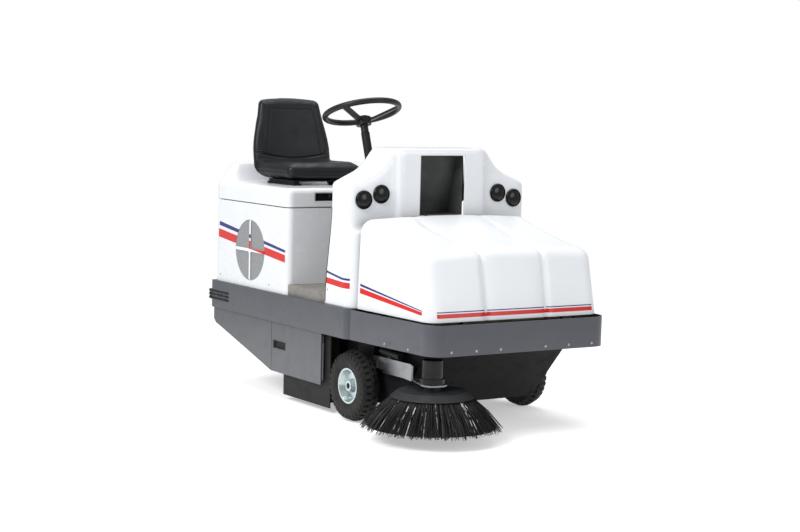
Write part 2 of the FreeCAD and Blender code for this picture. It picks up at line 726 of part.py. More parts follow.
def front_fairing():
    """White cover in front of the driver, open behind and below, with the tower window."""
    skin = fairing_solid(0, fairing_rear).cut(fairing_solid(shell, fairing_rear + 1))
    window = box(-window_half_width, window_half_width, upper_front - 1, upper_front + 60, window_bottom, window_top)
    mast = box(-mast_opening, mast_opening, fairing_front - 1, fairing_front + shell + 51,
               pivot_z - 62, window_bottom - shell)
    return skin.cut(window).cut(mast)


def window_liner():
    """Open-fronted box lining the tower window, with a sloping back plate."""
    w, y0 = window_half_width, upper_front
    outer = prism([(y0, window_bottom), (y0, window_top), (y0 + liner_depth * 0.4, window_top),
                   (y0 + liner_depth, window_bottom)], "yz", -w, w)
    inner = prism([(y0 - 1, window_bottom + sheet), (y0 - 1, window_top - sheet),
                   (y0 + liner_depth * 0.4 - sheet, window_top - sheet), (y0 + liner_depth - 2 * sheet, window_bottom + sheet)],
                  "yz", -w + sheet, w - sheet)
    return outer.cut(inner)


def dashboard():
    """Instrument panel that closes the back of the tower, with the raised gauge block."""
    y1 = fairing_rear
    panel = prism([(-240, 900, 20), (240, 900, 20), (225, 1120, 25), (-225, 1120, 25)], "xz", y1 - 14, y1 - 8)
    ledge = box(-225, 225, y1 - 8, y1 + 12, 905, 915)
    gauge = box(station_x - 70, station_x + 70, y1 - 8, y1 + 8, 1000, 1085)
    ties = [box(min(side * 225, side * (body_half_width - shell)), max(side * 225, side * (body_half_width - shell)),
                y1 - 14, y1 - 8, 925, 945) for side in (-1, 1)]
    return join(panel, ledge, gauge, *ties)


def lamp_caps():
    """Four round glossy caps on the fairing's shoulders."""
    y = upper_front
    caps = [rod((side * x, y, z), (side * x, y - 12, z), lamp_radius) for side in (-1, 1)
            for x, z in ((388, 927), (302, 950))]
    return group(*caps)


def rounded_box(half, y0, y1, z0, z1, radius):
    """Upright box with rounded vertical edges."""
    return prism([(-half, y0, radius), (-half, y1, radius), (half, y1, radius), (half, y0, radius)], "xy", z0, z1)


def seat_body():
    """White compartment under the seat, open above and below, with the round vent hole."""
    outer = rounded_box(body_half_width, body_front, body_rear, rail_top, body_top - lid_seam, lid_skirt_radius)
    inner = rounded_box(body_half_width - shell, body_front + shell, body_rear - shell, rail_top - 1, body_top + 1,
                        lid_skirt_radius - shell)
    hole = rod((-body_half_width - 1, vent_y, vent_z), (-body_half_width + shell + 1, vent_y, vent_z), vent_radius)
    return outer.cut(inner).cut(hole)


def vent_grille():
    """Round grille in the vent hole: rim, cross and hub over a slotted plate."""
    x0 = -body_half_width
    r = vent_radius - vent_clearance
    plate = rod((x0 + 2, vent_y, vent_z), (x0 + shell, vent_y, vent_z), r)
    flange = pipe((x0 + shell, vent_y, vent_z), (x0 + shell + 3, vent_y, vent_z), vent_radius + 12, vent_radius - 20)
    bars = [box(x0 - 1, x0 + 2, vent_y - 8, vent_y + 8, vent_z - r + 4, vent_z + r - 4),
            box(x0 - 1, x0 + 2, vent_y - r + 4, vent_y + r - 4, vent_z - 8, vent_z + 8)]
    hub = rod((x0 - 2, vent_y, vent_z), (x0 + 2, vent_y, vent_z), 20)
    return join(plate, flange, *bars, hub)


def footwell_floor():
    """Folded sheet step between the rails."""
    half = body_half_width - 8
    front = fairing_front + shell + 50
    outer = box(-half, half, front, body_front, rail_top, floor_top)
    inner = box(-half + sheet, half - sheet, front - 1, body_front + 1, rail_top - 1, floor_top - sheet)
    return outer.cut(inner)


def battery_tray():
    """Tray across the rails' upper flanges."""
    z = rail_top - rail_steel
    half = rail_half_width - rail_flange - 1
    y0, y1 = body_front + 30, body_front + 330
    tray = box(-half, half, y0, y1, z - 30, z).cut(box(-half + sheet, half - sheet, y0 + sheet, y1 - sheet, z - 30 + sheet, z + 1))
    lips = [box(min(s * (half - 1), s * (half + 20)), max(s * (half - 1), s * (half + 20)), y0, y1, rail_top, rail_top + sheet)
            for s in (-1, 1)]
    walls = [box(min(s * (half - sheet), s * half), max(s * (half - sheet), s * half), y0, y1, z - 1, rail_top + sheet) for s in (-1, 1)]
    return join(tray, *lips, *walls)


battery_count = 4
battery_gap = 6


def batteries():
    """Row of traction batteries on the tray, each with its terminals."""
    z = rail_top - rail_steel - 30 + sheet
    span = 2 * (rail_half_width - rail_flange - 1 - sheet - 20)
    pitch = span / battery_count
    blocks = []
    for i in range(battery_count):
        x0 = -span / 2 + i * pitch
        case = box(x0, x0 + pitch - battery_gap, body_front + 50, body_front + 300, z, z + 275)
        posts = [rod((x0 + dx, body_front + 75, z + 275), (x0 + dx, body_front + 75, z + 290), 9)
                 for dx in (30, pitch - battery_gap - 30)]
        blocks.append(join(case, *posts))
    return group(*blocks)


# ---------------------------------------------------------------- driver's station
def column_point(height):
    """Point on the steering column's axis at a height."""
    run = (wheel_centre_z - height) * tan(radians(column_tilt))
    return (station_x, wheel_centre_y - run, height)


def steering_column():
    """Fixed column tube with its foot, and the steering box under the floor."""
    foot = column_point(floor_top)
    tube = rod(column_point(floor_top - 10), column_point(wheel_centre_z - 92), column_radius)
    tube = tube.common(box(-500, 500, -500, 1500, floor_top, 2000))
    tube = tube.cut(on_column(Part.makeCylinder(shaft_radius + running, 60, FreeCAD.Vector(0, 0, -156))))
    flange = rod(foot, (foot[0], foot[1], floor_top + 8), 45)
    gearbox = box(station_x - 45, station_x + 45, foot[1] - 20, pitman_y + 45, link_z + 18, floor_top - sheet)
    bore = rod((station_x, pitman_y, 0), (station_x, pitman_y, link_z + 31), pitman_pin + running)
    return group(join(tube, flange), gearbox.cut(bore))


def steering_wheel():
    """Rim, three spokes, boss and the shaft end above the fixed column."""
    parts = []
    rim_ring = Part.makeTorus(wheel_rim_radius, wheel_rim_tube)
    hub = Part.makeCylinder(34, 34, FreeCAD.Vector(0, 0, -62))
    neck = Part.makeCylinder(17, 40, FreeCAD.Vector(0, 0, -95))
    shaft = Part.makeCylinder(shaft_radius, 60, FreeCAD.Vector(0, 0, -150))
    parts += [hub, neck, shaft]
    for k in range(3):
        turn = 90 + 120 * k
        spoke = Part.makeBox(hypot(spoke_run, spoke_rise), spoke_width, spoke_thickness,
                             FreeCAD.Vector(0, -spoke_width / 2, -spoke_thickness / 2))
        spoke.rotate(FreeCAD.Vector(0, 0, 0), FreeCAD.Vector(0, -1, 0), degrees(atan2(spoke_rise, spoke_run)))
        spoke.translate(FreeCAD.Vector(wheel_rim_radius - spoke_run, 0, -spoke_rise))
        parts.append(spoke.rotate(FreeCAD.Vector(0, 0, 0), FreeCAD.Vector(0, 0, 1), turn))
    whole = join(rim_ring, *parts)
    well = Part.makeCylinder(button_radius + joint_gap, 12, FreeCAD.Vector(0, 0, -28 - 8))
    return on_column(whole.cut(well))


def on_column(shape):
    """Shape drawn about the wheel's centre, tipped onto the column's axis."""
    shape = shape.rotate(FreeCAD.Vector(0, 0, 0), FreeCAD.Vector(1, 0, 0), -column_tilt)
    return shape.translate(FreeCAD.Vector(station_x, wheel_centre_y, wheel_centre_z))


button_radius = 22
shaft_radius = 12


def horn_button():
    """Push button in the wheel's boss."""
    return on_column(Part.makeCylinder(button_radius, 10, FreeCAD.Vector(0, 0, -32)))


def seat_lid():
    """White lid with a raised hump behind the seat, a folded grip in front and its hinge barrel."""
    def solid(inset, low):
        half = body_half_width - inset
        side = [(body_front + inset - 1, low), (body_front + inset - 1, lid_top - inset),
                (lid_hump_front + inset, lid_top - inset, 20), (lid_hump_front + 25 + inset, lid_hump_top - inset, 16),
                (body_rear - inset + 1, lid_hump_top - inset), (body_rear - inset + 1, low)]
        front = [(-half - 1, low), (-half - 1, lid_top - inset), (-half + 60, lid_hump_top + 1),
                 (half - 60, lid_hump_top + 1), (half + 1, lid_top - inset), (half + 1, low)]
        plan = rounded_box(half, body_front + inset, body_rear - inset, low, lid_hump_top + 1, lid_skirt_radius - inset)
        return prism(side, "yz", -600, 600).common(prism(front, "xz", 0, 1500)).common(plan)
    skin = solid(0, body_top).cut(solid(shell, body_top - 1))
    well = box(grip_x - grip_width / 2, grip_x + grip_width / 2, body_front - 1, body_front + grip_depth, grip_z, grip_z + grip_height)
    wall = box(grip_x - grip_width / 2 - sheet, grip_x + grip_width / 2 + sheet, body_front + 1,
               body_front + grip_depth + sheet, grip_z - sheet, grip_z + grip_height + sheet)
    barrel = rod((-200, lid_hinge_y, lid_hinge_z), (200, lid_hinge_y, lid_hinge_z), 9)
    leaf = box(-200, 200, body_rear - shell - 1, lid_hinge_y, body_top + 1, lid_hinge_z + 4)
    bore = rod((-300, lid_hinge_y, lid_hinge_z), (300, lid_hinge_y, lid_hinge_z), 4 + running)
    return join(skin, wall, barrel, leaf).cut(well).cut(bore)


grip_z = lid_top - 57
lid_hinge_y = body_rear + 12
lid_hinge_z = body_top + 9


def lid_hinge():
    """Fixed hinge leaf with its pin, on the compartment's back wall."""
    pin = rod((-230, lid_hinge_y, lid_hinge_z), (230, lid_hinge_y, lid_hinge_z), 4)
    knuckles = []
    for side in (-1, 1):
        x0, x1 = sorted((side * 202, side * 230))
        knuckles.append(rod((x0, lid_hinge_y, lid_hinge_z), (x1, lid_hinge_y, lid_hinge_z), 9))
        knuckles.append(box(x0, x1, body_rear, lid_hinge_y, body_top - 60, lid_hinge_z))
    plate = box(-230, 230, body_rear, body_rear + 4, body_top - 60, body_top - 14)
    return join(plate, pin, *knuckles)


def seat_rails():
    """Two fixed slide channels on the lid."""
    rails = [box(station_x + side * slide_width / 2 - 18, station_x + side * slide_width / 2 + 18, slide_front, slide_rear,
                 lid_top, lid_top + 10) for side in (-1, 1)]
    return group(*rails)


def seat_frame():
    """Sliding plate under the cushion with its two runners, and the back's upright."""
    z = lid_top + 10 + soft_gap
    runners = [box(station_x + side * slide_width / 2 - 15, station_x + side * slide_width / 2 + 15, slide_front + 10,
                   slide_rear - 10, z, seat_base_z - 4) for side in (-1, 1)]
    plate = box(station_x - slide_width / 2 - 15, station_x + slide_width / 2 + 15, slide_front + 10, slide_rear - 10,
                seat_base_z - 6, seat_base_z - soft_gap)
    return join(plate, *runners)


def seat_cushion():
    """Padded cushion, highest at the front edge and sides."""
    half = seat_width / 2
    side = [(seat_front, seat_base_z + 30, 14), (seat_front + 6, cushion_top - 4, 26), (back_base_y - 50, cushion_top - 14),
            (back_base_y + 12, cushion_top - 14), (back_base_y + 12, seat_base_z + 16, 20), (slide_rear - 20, seat_base_z),
            (seat_front + 60, seat_base_z)]
    plan = prism([(station_x - half + 12, seat_front - 1, 60), (station_x - half, back_base_y + 13, 40),
                  (station_x + half, back_base_y + 13, 40), (station_x + half - 12, seat_front - 1, 60)], "xy", 900, 1200)
    return prism(side, "yz", station_x - half, station_x + half).common(plan)


def seat_backrest():
    """Padded backrest, leaning back and narrower at the top."""
    lean = tan(radians(back_recline))
    base = cushion_top - 14 + soft_gap
    thick = 70
    rise = back_top_z - base
    side = [(back_base_y - 44, base), (back_base_y - 44 + rise * lean, back_top_z, 25),
            (back_base_y - 44 + rise * lean + thick - 10, back_top_z, 25), (back_base_y + thick - 44, base + 40), (back_base_y + 10, base)]
    low, high = seat_width / 2, seat_width / 2 - 42
    front = [(station_x - low, base), (station_x - high, back_top_z + 1, 45), (station_x + high, back_top_z + 1, 45),
             (station_x + low, base)]
    return prism(side, "yz", station_x - low, station_x + low).common(prism(front, "xz", 800, 1400))


pedal_y = -10
pedal_pivot_z = floor_top + 26


def pedal(x, width):
    """Foot pedal on a floor pivot; the block is fixed and the plate turns on its pin."""
    z = pedal_pivot_z
    block = [box(min(x + s * (width / 2 + 2), x + s * (width / 2 + 8)), max(x + s * (width / 2 + 2), x + s * (width / 2 + 8)),
                 pedal_y - 12, pedal_y + 12, floor_top, z + 12) for s in (-1, 1)]
    pin = rod((x - width / 2 - 8, pedal_y, z), (x + width / 2 + 8, pedal_y, z), 5)
    barrel = pipe((x - width / 2, pedal_y, z), (x + width / 2, pedal_y, z), 11, 5 + running)
    plate = prism([(0, 9), (130, 9, 3), (130, 17, 3), (0, 17)], "yz", x - width / 2, x + width / 2)
    plate = plate.rotate(FreeCAD.Vector(0, 0, 0), FreeCAD.Vector(1, 0, 0), 35)
    plate = plate.translate(FreeCAD.Vector(0, pedal_y, z))
    return join(*block, pin), join(barrel, plate.cut(rod((x - width, pedal_y, z), (x + width, pedal_y, z), 10)))


lever_y = fairing_rear + 60
lever_z = floor_top + 30


def lever(x):
    """Hand lever with a ball knob on a floor pivot."""
    block = [box(min(x + s * 8, x + s * 14), max(x + s * 8, x + s * 14), lever_y - 14, lever_y + 14, floor_top, lever_z + 14)
             for s in (-1, 1)]
    pin = rod((x - 14, lever_y, lever_z), (x + 14, lever_y, lever_z), 5)
    barrel = pipe((x - 7, lever_y, lever_z), (x + 7, lever_y, lever_z), 13, 5 + running)
    stick = rod((x, lever_y, lever_z + 9), (x, lever_y + 40, lever_z + 300), 6)
    stick = stick.cut(rod((x - 20, lever_y, lever_z), (x + 20, lever_y, lever_z), 10))
    knob = rod((x, lever_y + 38, lever_z + 288), (x, lever_y + 43, lever_z + 326), 16)
    knob = knob.makeFillet(10, [edge for edge in knob.Edges if edge.isClosed()])
    return join(*block, pin), join(barrel, stick, knob)


def key():
    """Ignition key in the gauge block's edge."""
    y = fairing_rear - 8
    x, z = station_x + 105, 1040
    return join(rod((x, y + running, z), (x, y + 12, z), 9), box(x - 2, x + 2, y + 12, y + 34, z - 12, z + 12))


# ---------------------------------------------------------------- nodes
nodes = {}


def collect():
    """Build every node by name."""
    right_rail = join(side_rail(), hinge_pin())
    nodes["side_rail_right"] = right_rail
    nodes["side_rail_left"] = mirrored(right_rail)
    nodes["rear_rail"] = rear_rail()
    nodes["front_cross_member"] = cross_member(front_cross_y, fairing_rear)
    nodes["turntable_plate"] = turntable_plate()
    nodes["lower_panel_right"] = lower_panel()
    nodes["lower_panel_left"] = mirrored(lower_panel())
    nodes["door_right"] = door()
    nodes["door_left"] = mirrored(door())
    nodes["rear_bumpers"] = rear_bumpers()
    nodes["side_flaps"] = flaps()
    nodes["brush_housing"] = brush_housing()
    bracket = wheel_bracket()
    nodes["wheel_bracket_right"] = bracket
    nodes["wheel_bracket_left"] = mirrored(bracket)
    centre = -wheel_outer_x + tyre_width / 2
    right_tyre = tyre(centre, front_axle_y, tyre_width)
    right_rim = rim(-wheel_outer_x, -wheel_outer_x + tyre_width, front_axle_y, axle_diameter / 2)
    nodes["tyre_right"], nodes["rim_right"] = right_tyre, right_rim
    nodes["tyre_left"], nodes["rim_left"] = mirrored(right_tyre), mirrored(right_rim)
    nodes["rear_tyre"] = tyre(0, rear_wheel_y, rear_tyre_width)
    nodes["rear_rim"] = rim(-rear_tyre_width / 2, rear_tyre_width / 2, rear_wheel_y, axle_diameter / 2)
    nodes["steering_fork"] = steering_fork()
    nodes["drive_motor"] = drive_motor()
    nodes["pitman_arm"] = pitman_arm()
    nodes["drag_link"] = drag_link()
    nodes["brush_arms"] = brush_arms()
    nodes["brush_motor"] = brush_motor()
    nodes["main_brush"] = main_brush()
    nodes["side_brush_arm"] = side_brush_arm()
    nodes["side_brush_motor"] = group(side_brush_motor(), lift_actuator())
    nodes["side_brush_disc"], nodes["side_brush_bristles"] = side_brush()
    nodes["front_bumper"] = front_bumper()
    nodes["hopper_tub"] = hopper_tub()
    nodes["hopper_ears"] = hopper_ears()
    nodes["filter_panel"] = filter_panel()
    nodes["suction_fan"] = suction_fan()
    nodes["hood"] = hood()
    nodes["front_fairing"] = front_fairing()
    nodes["window_liner"] = window_liner()
    nodes["dashboard"] = dashboard()
    nodes["lamp_caps"] = lamp_caps()
    nodes["seat_body"] = seat_body()
    nodes["vent_grille"] = vent_grille()
    nodes["battery_tray"] = battery_tray()
    nodes["batteries"] = batteries()
    nodes["steering_column"] = steering_column()
    nodes["steering_wheel"] = steering_wheel()
    nodes["horn_button"] = horn_button()
    nodes["seat_lid"] = seat_lid()
    nodes["lid_hinge"] = lid_hinge()
    nodes["seat_rails"] = seat_rails()
    nodes["seat_frame"] = seat_frame()
    nodes["seat_cushion"] = seat_cushion()
    nodes["seat_backrest"] = seat_backrest()
    drive_block, nodes["drive_pedal"] = pedal(drive_pedal_x, 70)
    brake_block, nodes["brake_pedal"] = pedal(brake_pedal_x, 60)
    main_block, nodes["main_brush_lever"] = lever(main_lever_x)
    side_block, nodes["side_brush_lever"] = lever(side_lever_x)
    nodes["footwell_floor"] = join(footwell_floor(), drive_block, brake_block, main_block, side_block)
    nodes["ignition_key"] = key()


drive_pedal_x = -330
brake_pedal_x = -30
main_lever_x = 60
side_lever_x = 110

# The origin is the middle of the whole machine's base.
width_low = side_brush_x - side_tip_radius
width_high = rail_half_width + 4
length_low = side_brush_y - side_tip_radius
length_high = rail_rear + 30
origin_x = (width_low + width_high) / 2
origin_y = (length_low + length_high) / 2

if __name__ == "__main__":
    os.makedirs("parts", exist_ok=True)
    collect()
    for name, shape in nodes.items():
        placed = shape.copy()
        placed.translate(FreeCAD.Vector(-origin_x, -origin_y, 0))
        placed.exportStep("parts/" + name + ".step")
        print(f"{name:22s} solids {len(placed.Solids)} valid {placed.isValid()} volume {placed.Volume / 1000:.0f} cm3")
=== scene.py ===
"""Looks of a ride-on sweeper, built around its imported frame.

Each class below makes one sub-assembly: it reads where the frame's nodes lie, builds the skins,
treads, padding and bristles that show, and dresses them. Lengths are in metres.
"""
from __future__ import annotations

import logging
import math
import random
from dataclasses import dataclass
from enum import Enum
from typing import Callable, Iterable

import bmesh
import bpy
from mathutils import Matrix, Vector


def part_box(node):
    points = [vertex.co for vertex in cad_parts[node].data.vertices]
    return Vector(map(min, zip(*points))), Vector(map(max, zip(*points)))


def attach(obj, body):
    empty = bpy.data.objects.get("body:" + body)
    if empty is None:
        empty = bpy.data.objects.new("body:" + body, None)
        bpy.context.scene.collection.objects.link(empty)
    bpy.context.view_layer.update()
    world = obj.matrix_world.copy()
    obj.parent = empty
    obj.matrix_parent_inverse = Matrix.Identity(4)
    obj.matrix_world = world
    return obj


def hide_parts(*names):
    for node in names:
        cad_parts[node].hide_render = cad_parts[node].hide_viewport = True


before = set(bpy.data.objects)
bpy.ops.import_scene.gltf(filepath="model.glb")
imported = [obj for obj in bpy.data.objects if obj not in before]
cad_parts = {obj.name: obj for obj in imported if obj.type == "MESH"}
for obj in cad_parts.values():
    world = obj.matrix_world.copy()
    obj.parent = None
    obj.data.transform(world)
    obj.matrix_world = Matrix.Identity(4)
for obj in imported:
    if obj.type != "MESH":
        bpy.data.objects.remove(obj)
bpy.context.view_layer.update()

log = logging.getLogger("sweeper")
Triple = tuple[float, float, float]
Colour = Triple
Box = tuple[Vector, Vector]
Shape = Callable[[Vector], Vector]

body_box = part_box("seat_body")
CENTRE_X = (body_box[0].x + body_box[1].x) / 2
AXLE_Y = (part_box("rim_right")[0].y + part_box("rim_right")[1].y) / 2
PROUD = 0.0008
LAMP_PLACES = ((0.388, 0.927), (0.302, 0.950))


def aft(distance: float) -> float:
    """The Y of a place that far behind the front axle."""
    return AXLE_Y + distance


class Side(Enum):
    """A side of the machine, as its driver sees it."""

    RIGHT = -1
    LEFT = 1

    @property
    def out(self) -> Vector:
        """The direction away from the machine."""
        return Vector((self.value, 0, 0))

    def face(self, box: Box) -> float:
        """The X of a box's outer face."""
        return box[0].x if self is Side.RIGHT else box[1].x

    def span(self, face: float, proud: float, deep: float) -> list[float]:
        """The X range from proud outside a face to deep inside it, lowest first."""
        return sorted((face + self.value * proud, face - self.value * deep))


# ---------------------------------------------------------------- shader expressions
class Value:
    """A shader socket that takes part in Python arithmetic."""

    def __init__(self, graph: "Graph", socket: bpy.types.NodeSocket) -> None:
        """Wraps a node's output socket."""
        self.graph = graph
        self.socket = socket

    def math(self, operation: str, *others: "Value | float", clamp: bool = False) -> "Value":
        """A Math node on this value.

        Args:
            operation: the Math node's operation.
            others: the further operands.
            clamp: whether the result is held between 0 and 1.

        Returns:
            The result.
        """
        return self.graph.maths(operation, (self, *others), clamp)

    def __add__(self, other: "Value | float") -> "Value":
        """self + other."""
        return self.math("ADD", other)

    def __sub__(self, other: "Value | float") -> "Value":
        """self - other."""
        return self.math("SUBTRACT", other)

    def __mul__(self, other: "Value | float") -> "Value":
        """self * other."""
        return self.math("MULTIPLY", other)

    def __truediv__(self, other: "Value | float") -> "Value":
        """self / other."""
        return self.math("DIVIDE", other)

    def __rsub__(self, other: float) -> "Value":
        """other - self."""
        return self.graph.maths("SUBTRACT", (other, self))

    __radd__ = __add__
    __rmul__ = __mul__

    def clamped(self) -> "Value":
        """The value held between 0 and 1."""
        return self.math("ADD", 0.0, clamp=True)

    def above(self, level: float, soft: float) -> "Value":
        """1 where the value is over level and 0 under it, over a width of soft."""
        return ((self - level) / soft + 0.5).clamped()

    def between(self, low: float, high: float, soft: float) -> "Value":
        """1 between the two levels, fading over soft at both."""
        return self.above(low, soft) * (1.0 - self.above(high, soft))


class Graph:
    """The node tree of one material."""

    def __init__(self, name: str) -> None:
        """Starts an empty material of that name."""
        self.material = bpy.data.materials.new(name)
        self.material.use_nodes = True
        self.tree = self.material.node_tree
        self.tree.nodes.clear()
        self.place = self.node("ShaderNodeTexCoord").outputs["Object"]

    def node(self, kind: str, settings: dict | None = None, **values: object) -> bpy.types.Node:
        """Adds one node.

        Args:
            kind: the node's type.
            settings: its properties.
            values: its sockets' values or links, with _ for a space in the name.

        Returns:
            The node.
        """
        made = self.tree.nodes.new(kind)
        for name, value in (settings or {}).items():
            setattr(made, name, value)
        for name, value in values.items():
            socket = made.inputs[int(name[1:])] if name[1:].isdigit() else made.inputs[name.replace("_", " ")]
            self.feed(socket, value)
        return made

    def feed(self, socket: bpy.types.NodeSocket, value: object) -> None:
        """Links a value to the socket, or sets it there."""
        if isinstance(value, Value):
            value = value.socket
        if isinstance(value, bpy.types.NodeSocket):
            self.tree.links.new(value, socket)
        elif isinstance(value, tuple) and socket.type == "RGBA":
            socket.default_value = (*value, 1.0)
        else:
            socket.default_value = value

    def maths(self, operation: str, operands: Iterable["Value | float"], clamp: bool = False) -> Value:
        """A Math node on the operands."""
        settings = {"operation": operation, "use_clamp": clamp}
        sockets = {f"_{i}": operand for i, operand in enumerate(operands)}
        return Value(self, self.node("ShaderNodeMath", settings, **sockets).outputs[0])

    def axes(self) -> tuple[Value, Value, Value]:
        """The X, Y and Z of a point of the object, in metres."""
        split = self.node("ShaderNodeSeparateXYZ", None, Vector=self.place)
        return tuple(Value(self, output) for output in split.outputs)

    def noise(self, size: float, detail: float = 3.0, stretch: Triple = (1, 1, 1)) -> Value:
        """Soft noise from 0 to 1 whose blobs are about size across."""
        place = self.node("ShaderNodeMapping", None, Vector=self.place, Scale=stretch).outputs[0]
        made = self.node("ShaderNodeTexNoise", None, Vector=place, Scale=1.0 / size, Detail=detail)
        return Value(self, made.outputs["Fac"])

    def cells(self, size: float, feature: str = "F1") -> Value:
        """Distance to the nearest point of a cell pattern, from 0 to about 1."""
        made = self.node("ShaderNodeTexVoronoi", {"feature": feature}, Vector=self.place, Scale=1.0 / size)
        return Value(self, made.outputs["Distance"])

    def mix(self, share: "Value | float", first: object, second: object) -> bpy.types.NodeSocket:
        """The colour that goes from first to second as share goes from 0 to 1."""
        made = self.node("ShaderNodeMix", {"data_type": "RGBA"}, _0=share, _6=first, _7=second)
        return made.outputs[2]

    def bump(self, height: Value, depth: float) -> bpy.types.NodeSocket:
        """A normal from a height of 0 to 1 that stands for depth metres."""
        made = self.node("ShaderNodeBump", None, Height=height, Distance=depth, Strength=1.0)
        return made.outputs[0]

    def finish(self, **sockets: object) -> bpy.types.Material:
        """Closes the material with a Principled shader of these sockets."""
        shader = self.node("ShaderNodeBsdfPrincipled", None, **sockets)
        self.node("ShaderNodeOutputMaterial", None, Surface=shader.outputs[0])
        return self.material


class SkyGraph(Graph):
    """The node tree of the world."""

    def __init__(self, world: bpy.types.World) -> None:
        """Starts with that world's tree, emptied."""
        world.use_nodes = True
        self.tree = world.node_tree
        self.tree.nodes.clear()


# ---------------------------------------------------------------- finishes
@dataclass(frozen=True)
class Finish:
    """A painted, moulded or plated surface.

    colour is the clean surface, second what it drifts to over patches of patch metres, shine how
    strongly it reflects, and dust the share of grey dust that gathers below dust_top.
    """

    name: str
    colour: Colour
    second: Colour
    roughness: float
    metallic: float = 0.0
    coat: float = 0.0
    shine: float = 0.5
    patch: float = 0.12
    grain: float = 0.004
    depth: float = 0.00006
    wear: float = 0.10
    dust: float = 0.0
    dust_colour: Colour = (0.30, 0.28, 0.25)
    dust_top: float = 0.40

    def base(self, graph: Graph) -> bpy.types.NodeSocket:
        """The clean surface's colour."""
        return graph.mix(graph.noise(self.patch).between(0.35, 1.5, 0.35), self.colour, self.second)

    def relief(self, graph: Graph) -> Value:
        """The surface's fine height, from 0 to 1."""
        return graph.noise(self.grain, 2.0)

    def build(self) -> bpy.types.Material:
        """Makes the material."""
        graph = Graph(self.name)
        scuffs = graph.noise(0.05, 5.0).between(0.60, 1.5, 0.16)
        colour = self.base(graph)
        roughness = self.roughness + scuffs * self.wear + graph.noise(self.patch / 3) * (self.wear / 2)
        if self.dust:
            low = 1.0 - graph.axes()[2].above(self.dust_top / 2, self.dust_top)
            film = (low * graph.noise(0.03, 6.0).between(0.40, 1.5, 0.30) * self.dust).clamped()
            colour = graph.mix(film, colour, self.dust_colour)
            roughness = (roughness + film * 0.35).clamped()
        normal = graph.bump(self.relief(graph), self.depth)
        return graph.finish(
            Base_Color=colour, Roughness=roughness, Metallic=self.metallic,
            Coat_Weight=self.coat, Coat_Roughness=0.10, Specular_IOR_Level=self.shine, Normal=normal,
        )


@dataclass(frozen=True)
class Stripe:
    """A flat band of tape: it runs along an axis from start to end, between two sloping edges.

    rise is how far its middle climbs per metre of that axis, from its height at the start.
    """

    start: float
    end: float
    height: float
    width: float
    rise: float
    taper: float = 0.0


@dataclass(frozen=True)
class StripedGelcoat(Finish):
    """White moulded gelcoat with a thin blue and a broad red band."""

    blue: tuple[Stripe, ...] = ()
    red: tuple[Stripe, ...] = ()
    front_blue: tuple[Stripe, ...] = ()
    front_red: tuple[Stripe, ...] = ()
    flank: float = 0.40
    nose: float = aft(-0.530)
    blue_colour: Colour = (0.006, 0.012, 0.16)
    red_colour: Colour = (0.62, 0.006, 0.004)

    def bands(self, along: Value, up: Value, stripes: tuple[Stripe, ...], soft: float = 0.0008) -> Value:
        """1 inside any of the stripes."""
        total = up * 0.0
        for stripe in stripes:
            middle = (along - stripe.start) * stripe.rise + stripe.height
            half = (along - stripe.start) * (stripe.taper / 2) + stripe.width / 2
            across = (up - middle).math("ABSOLUTE")
            inside = ((half - across) / soft + 0.5).clamped()
            total = total.math("MAXIMUM", inside * along.between(stripe.start, stripe.end, soft))
        return total

    def base(self, graph: Graph) -> bpy.types.NodeSocket:
        """The gelcoat with its bands."""
        across, along, up = graph.axes()
        flank = (across - CENTRE_X).math("ABSOLUTE").above(self.flank, 0.002)
        colour = super().base(graph)
        for tint, side, front in (
            (self.blue_colour, self.blue, self.front_blue), (self.red_colour, self.red, self.front_red),
        ):
            mask = self.bands(along, up, side) * flank
            if front:
                nose = 1.0 - along.above(self.nose, 0.002)
                mask = mask.math("MAXIMUM", self.bands(across, up, front) * nose)
            colour = graph.mix(mask, colour, tint)
        return colour


@dataclass(frozen=True)
class VentPlastic(StripedGelcoat):
    """Grey ribbed quadrants between a white cross and hub that carry the body's bands."""

    quadrant: Colour = (0.27, 0.28, 0.29)
    middle: tuple[float, float] = (aft(0.891), 0.643)
    bar: float = 0.007
    hub: float = 0.013
    rim: float = 0.1385
    louvre: float = 0.008

    def base(self, graph: Graph) -> bpy.types.NodeSocket:
        """The cross in the body's colours and the quadrants in grey, with painted shade that darkens the grey
        in step with each slat.
        """
        _, along, up = graph.axes()
        y, z = along - self.middle[0], up - self.middle[1]
        bars = 1.0 - y.math("ABSOLUTE").above(self.bar, 0.0008)
        bars = bars.math("MAXIMUM", 1.0 - z.math("ABSOLUTE").above(self.bar, 0.0008))
        radius = (y * y + z * z).math("SQRT")
        white = bars.math("MAXIMUM", 1.0 - radius.above(self.hub, 0.0008))
        white = white.math("MAXIMUM", radius.above(self.rim, 0.0008))
        # Painted shade of the slats: the quadrants' grey goes lighter and darker with each slat.
        lines = (up * (2 * math.pi / self.louvre)).math("SINE") * 0.10 + 0.92
        shade = graph.node("ShaderNodeVectorMath", {"operation": "SCALE"}, _0=self.quadrant, Scale=lines)
        return graph.mix(white, shade.outputs[0], super().base(graph))

    def relief(self, graph: Graph) -> Value:
        """Fine slats across the quadrants."""
        return (graph.axes()[2] * (2 * math.pi / self.louvre)).math("SINE") * 0.5 + 0.5


@dataclass(frozen=True)
class Vinyl(Finish):
    """Seat vinyl: small pebbles between fine creases."""

    pebble: float = 0.0016

    def relief(self, graph: Graph) -> Value:
        """Pebbles on a slow swell."""
        return graph.cells(self.pebble, "SMOOTH_F1") * 0.8 + graph.noise(0.02) * 0.2


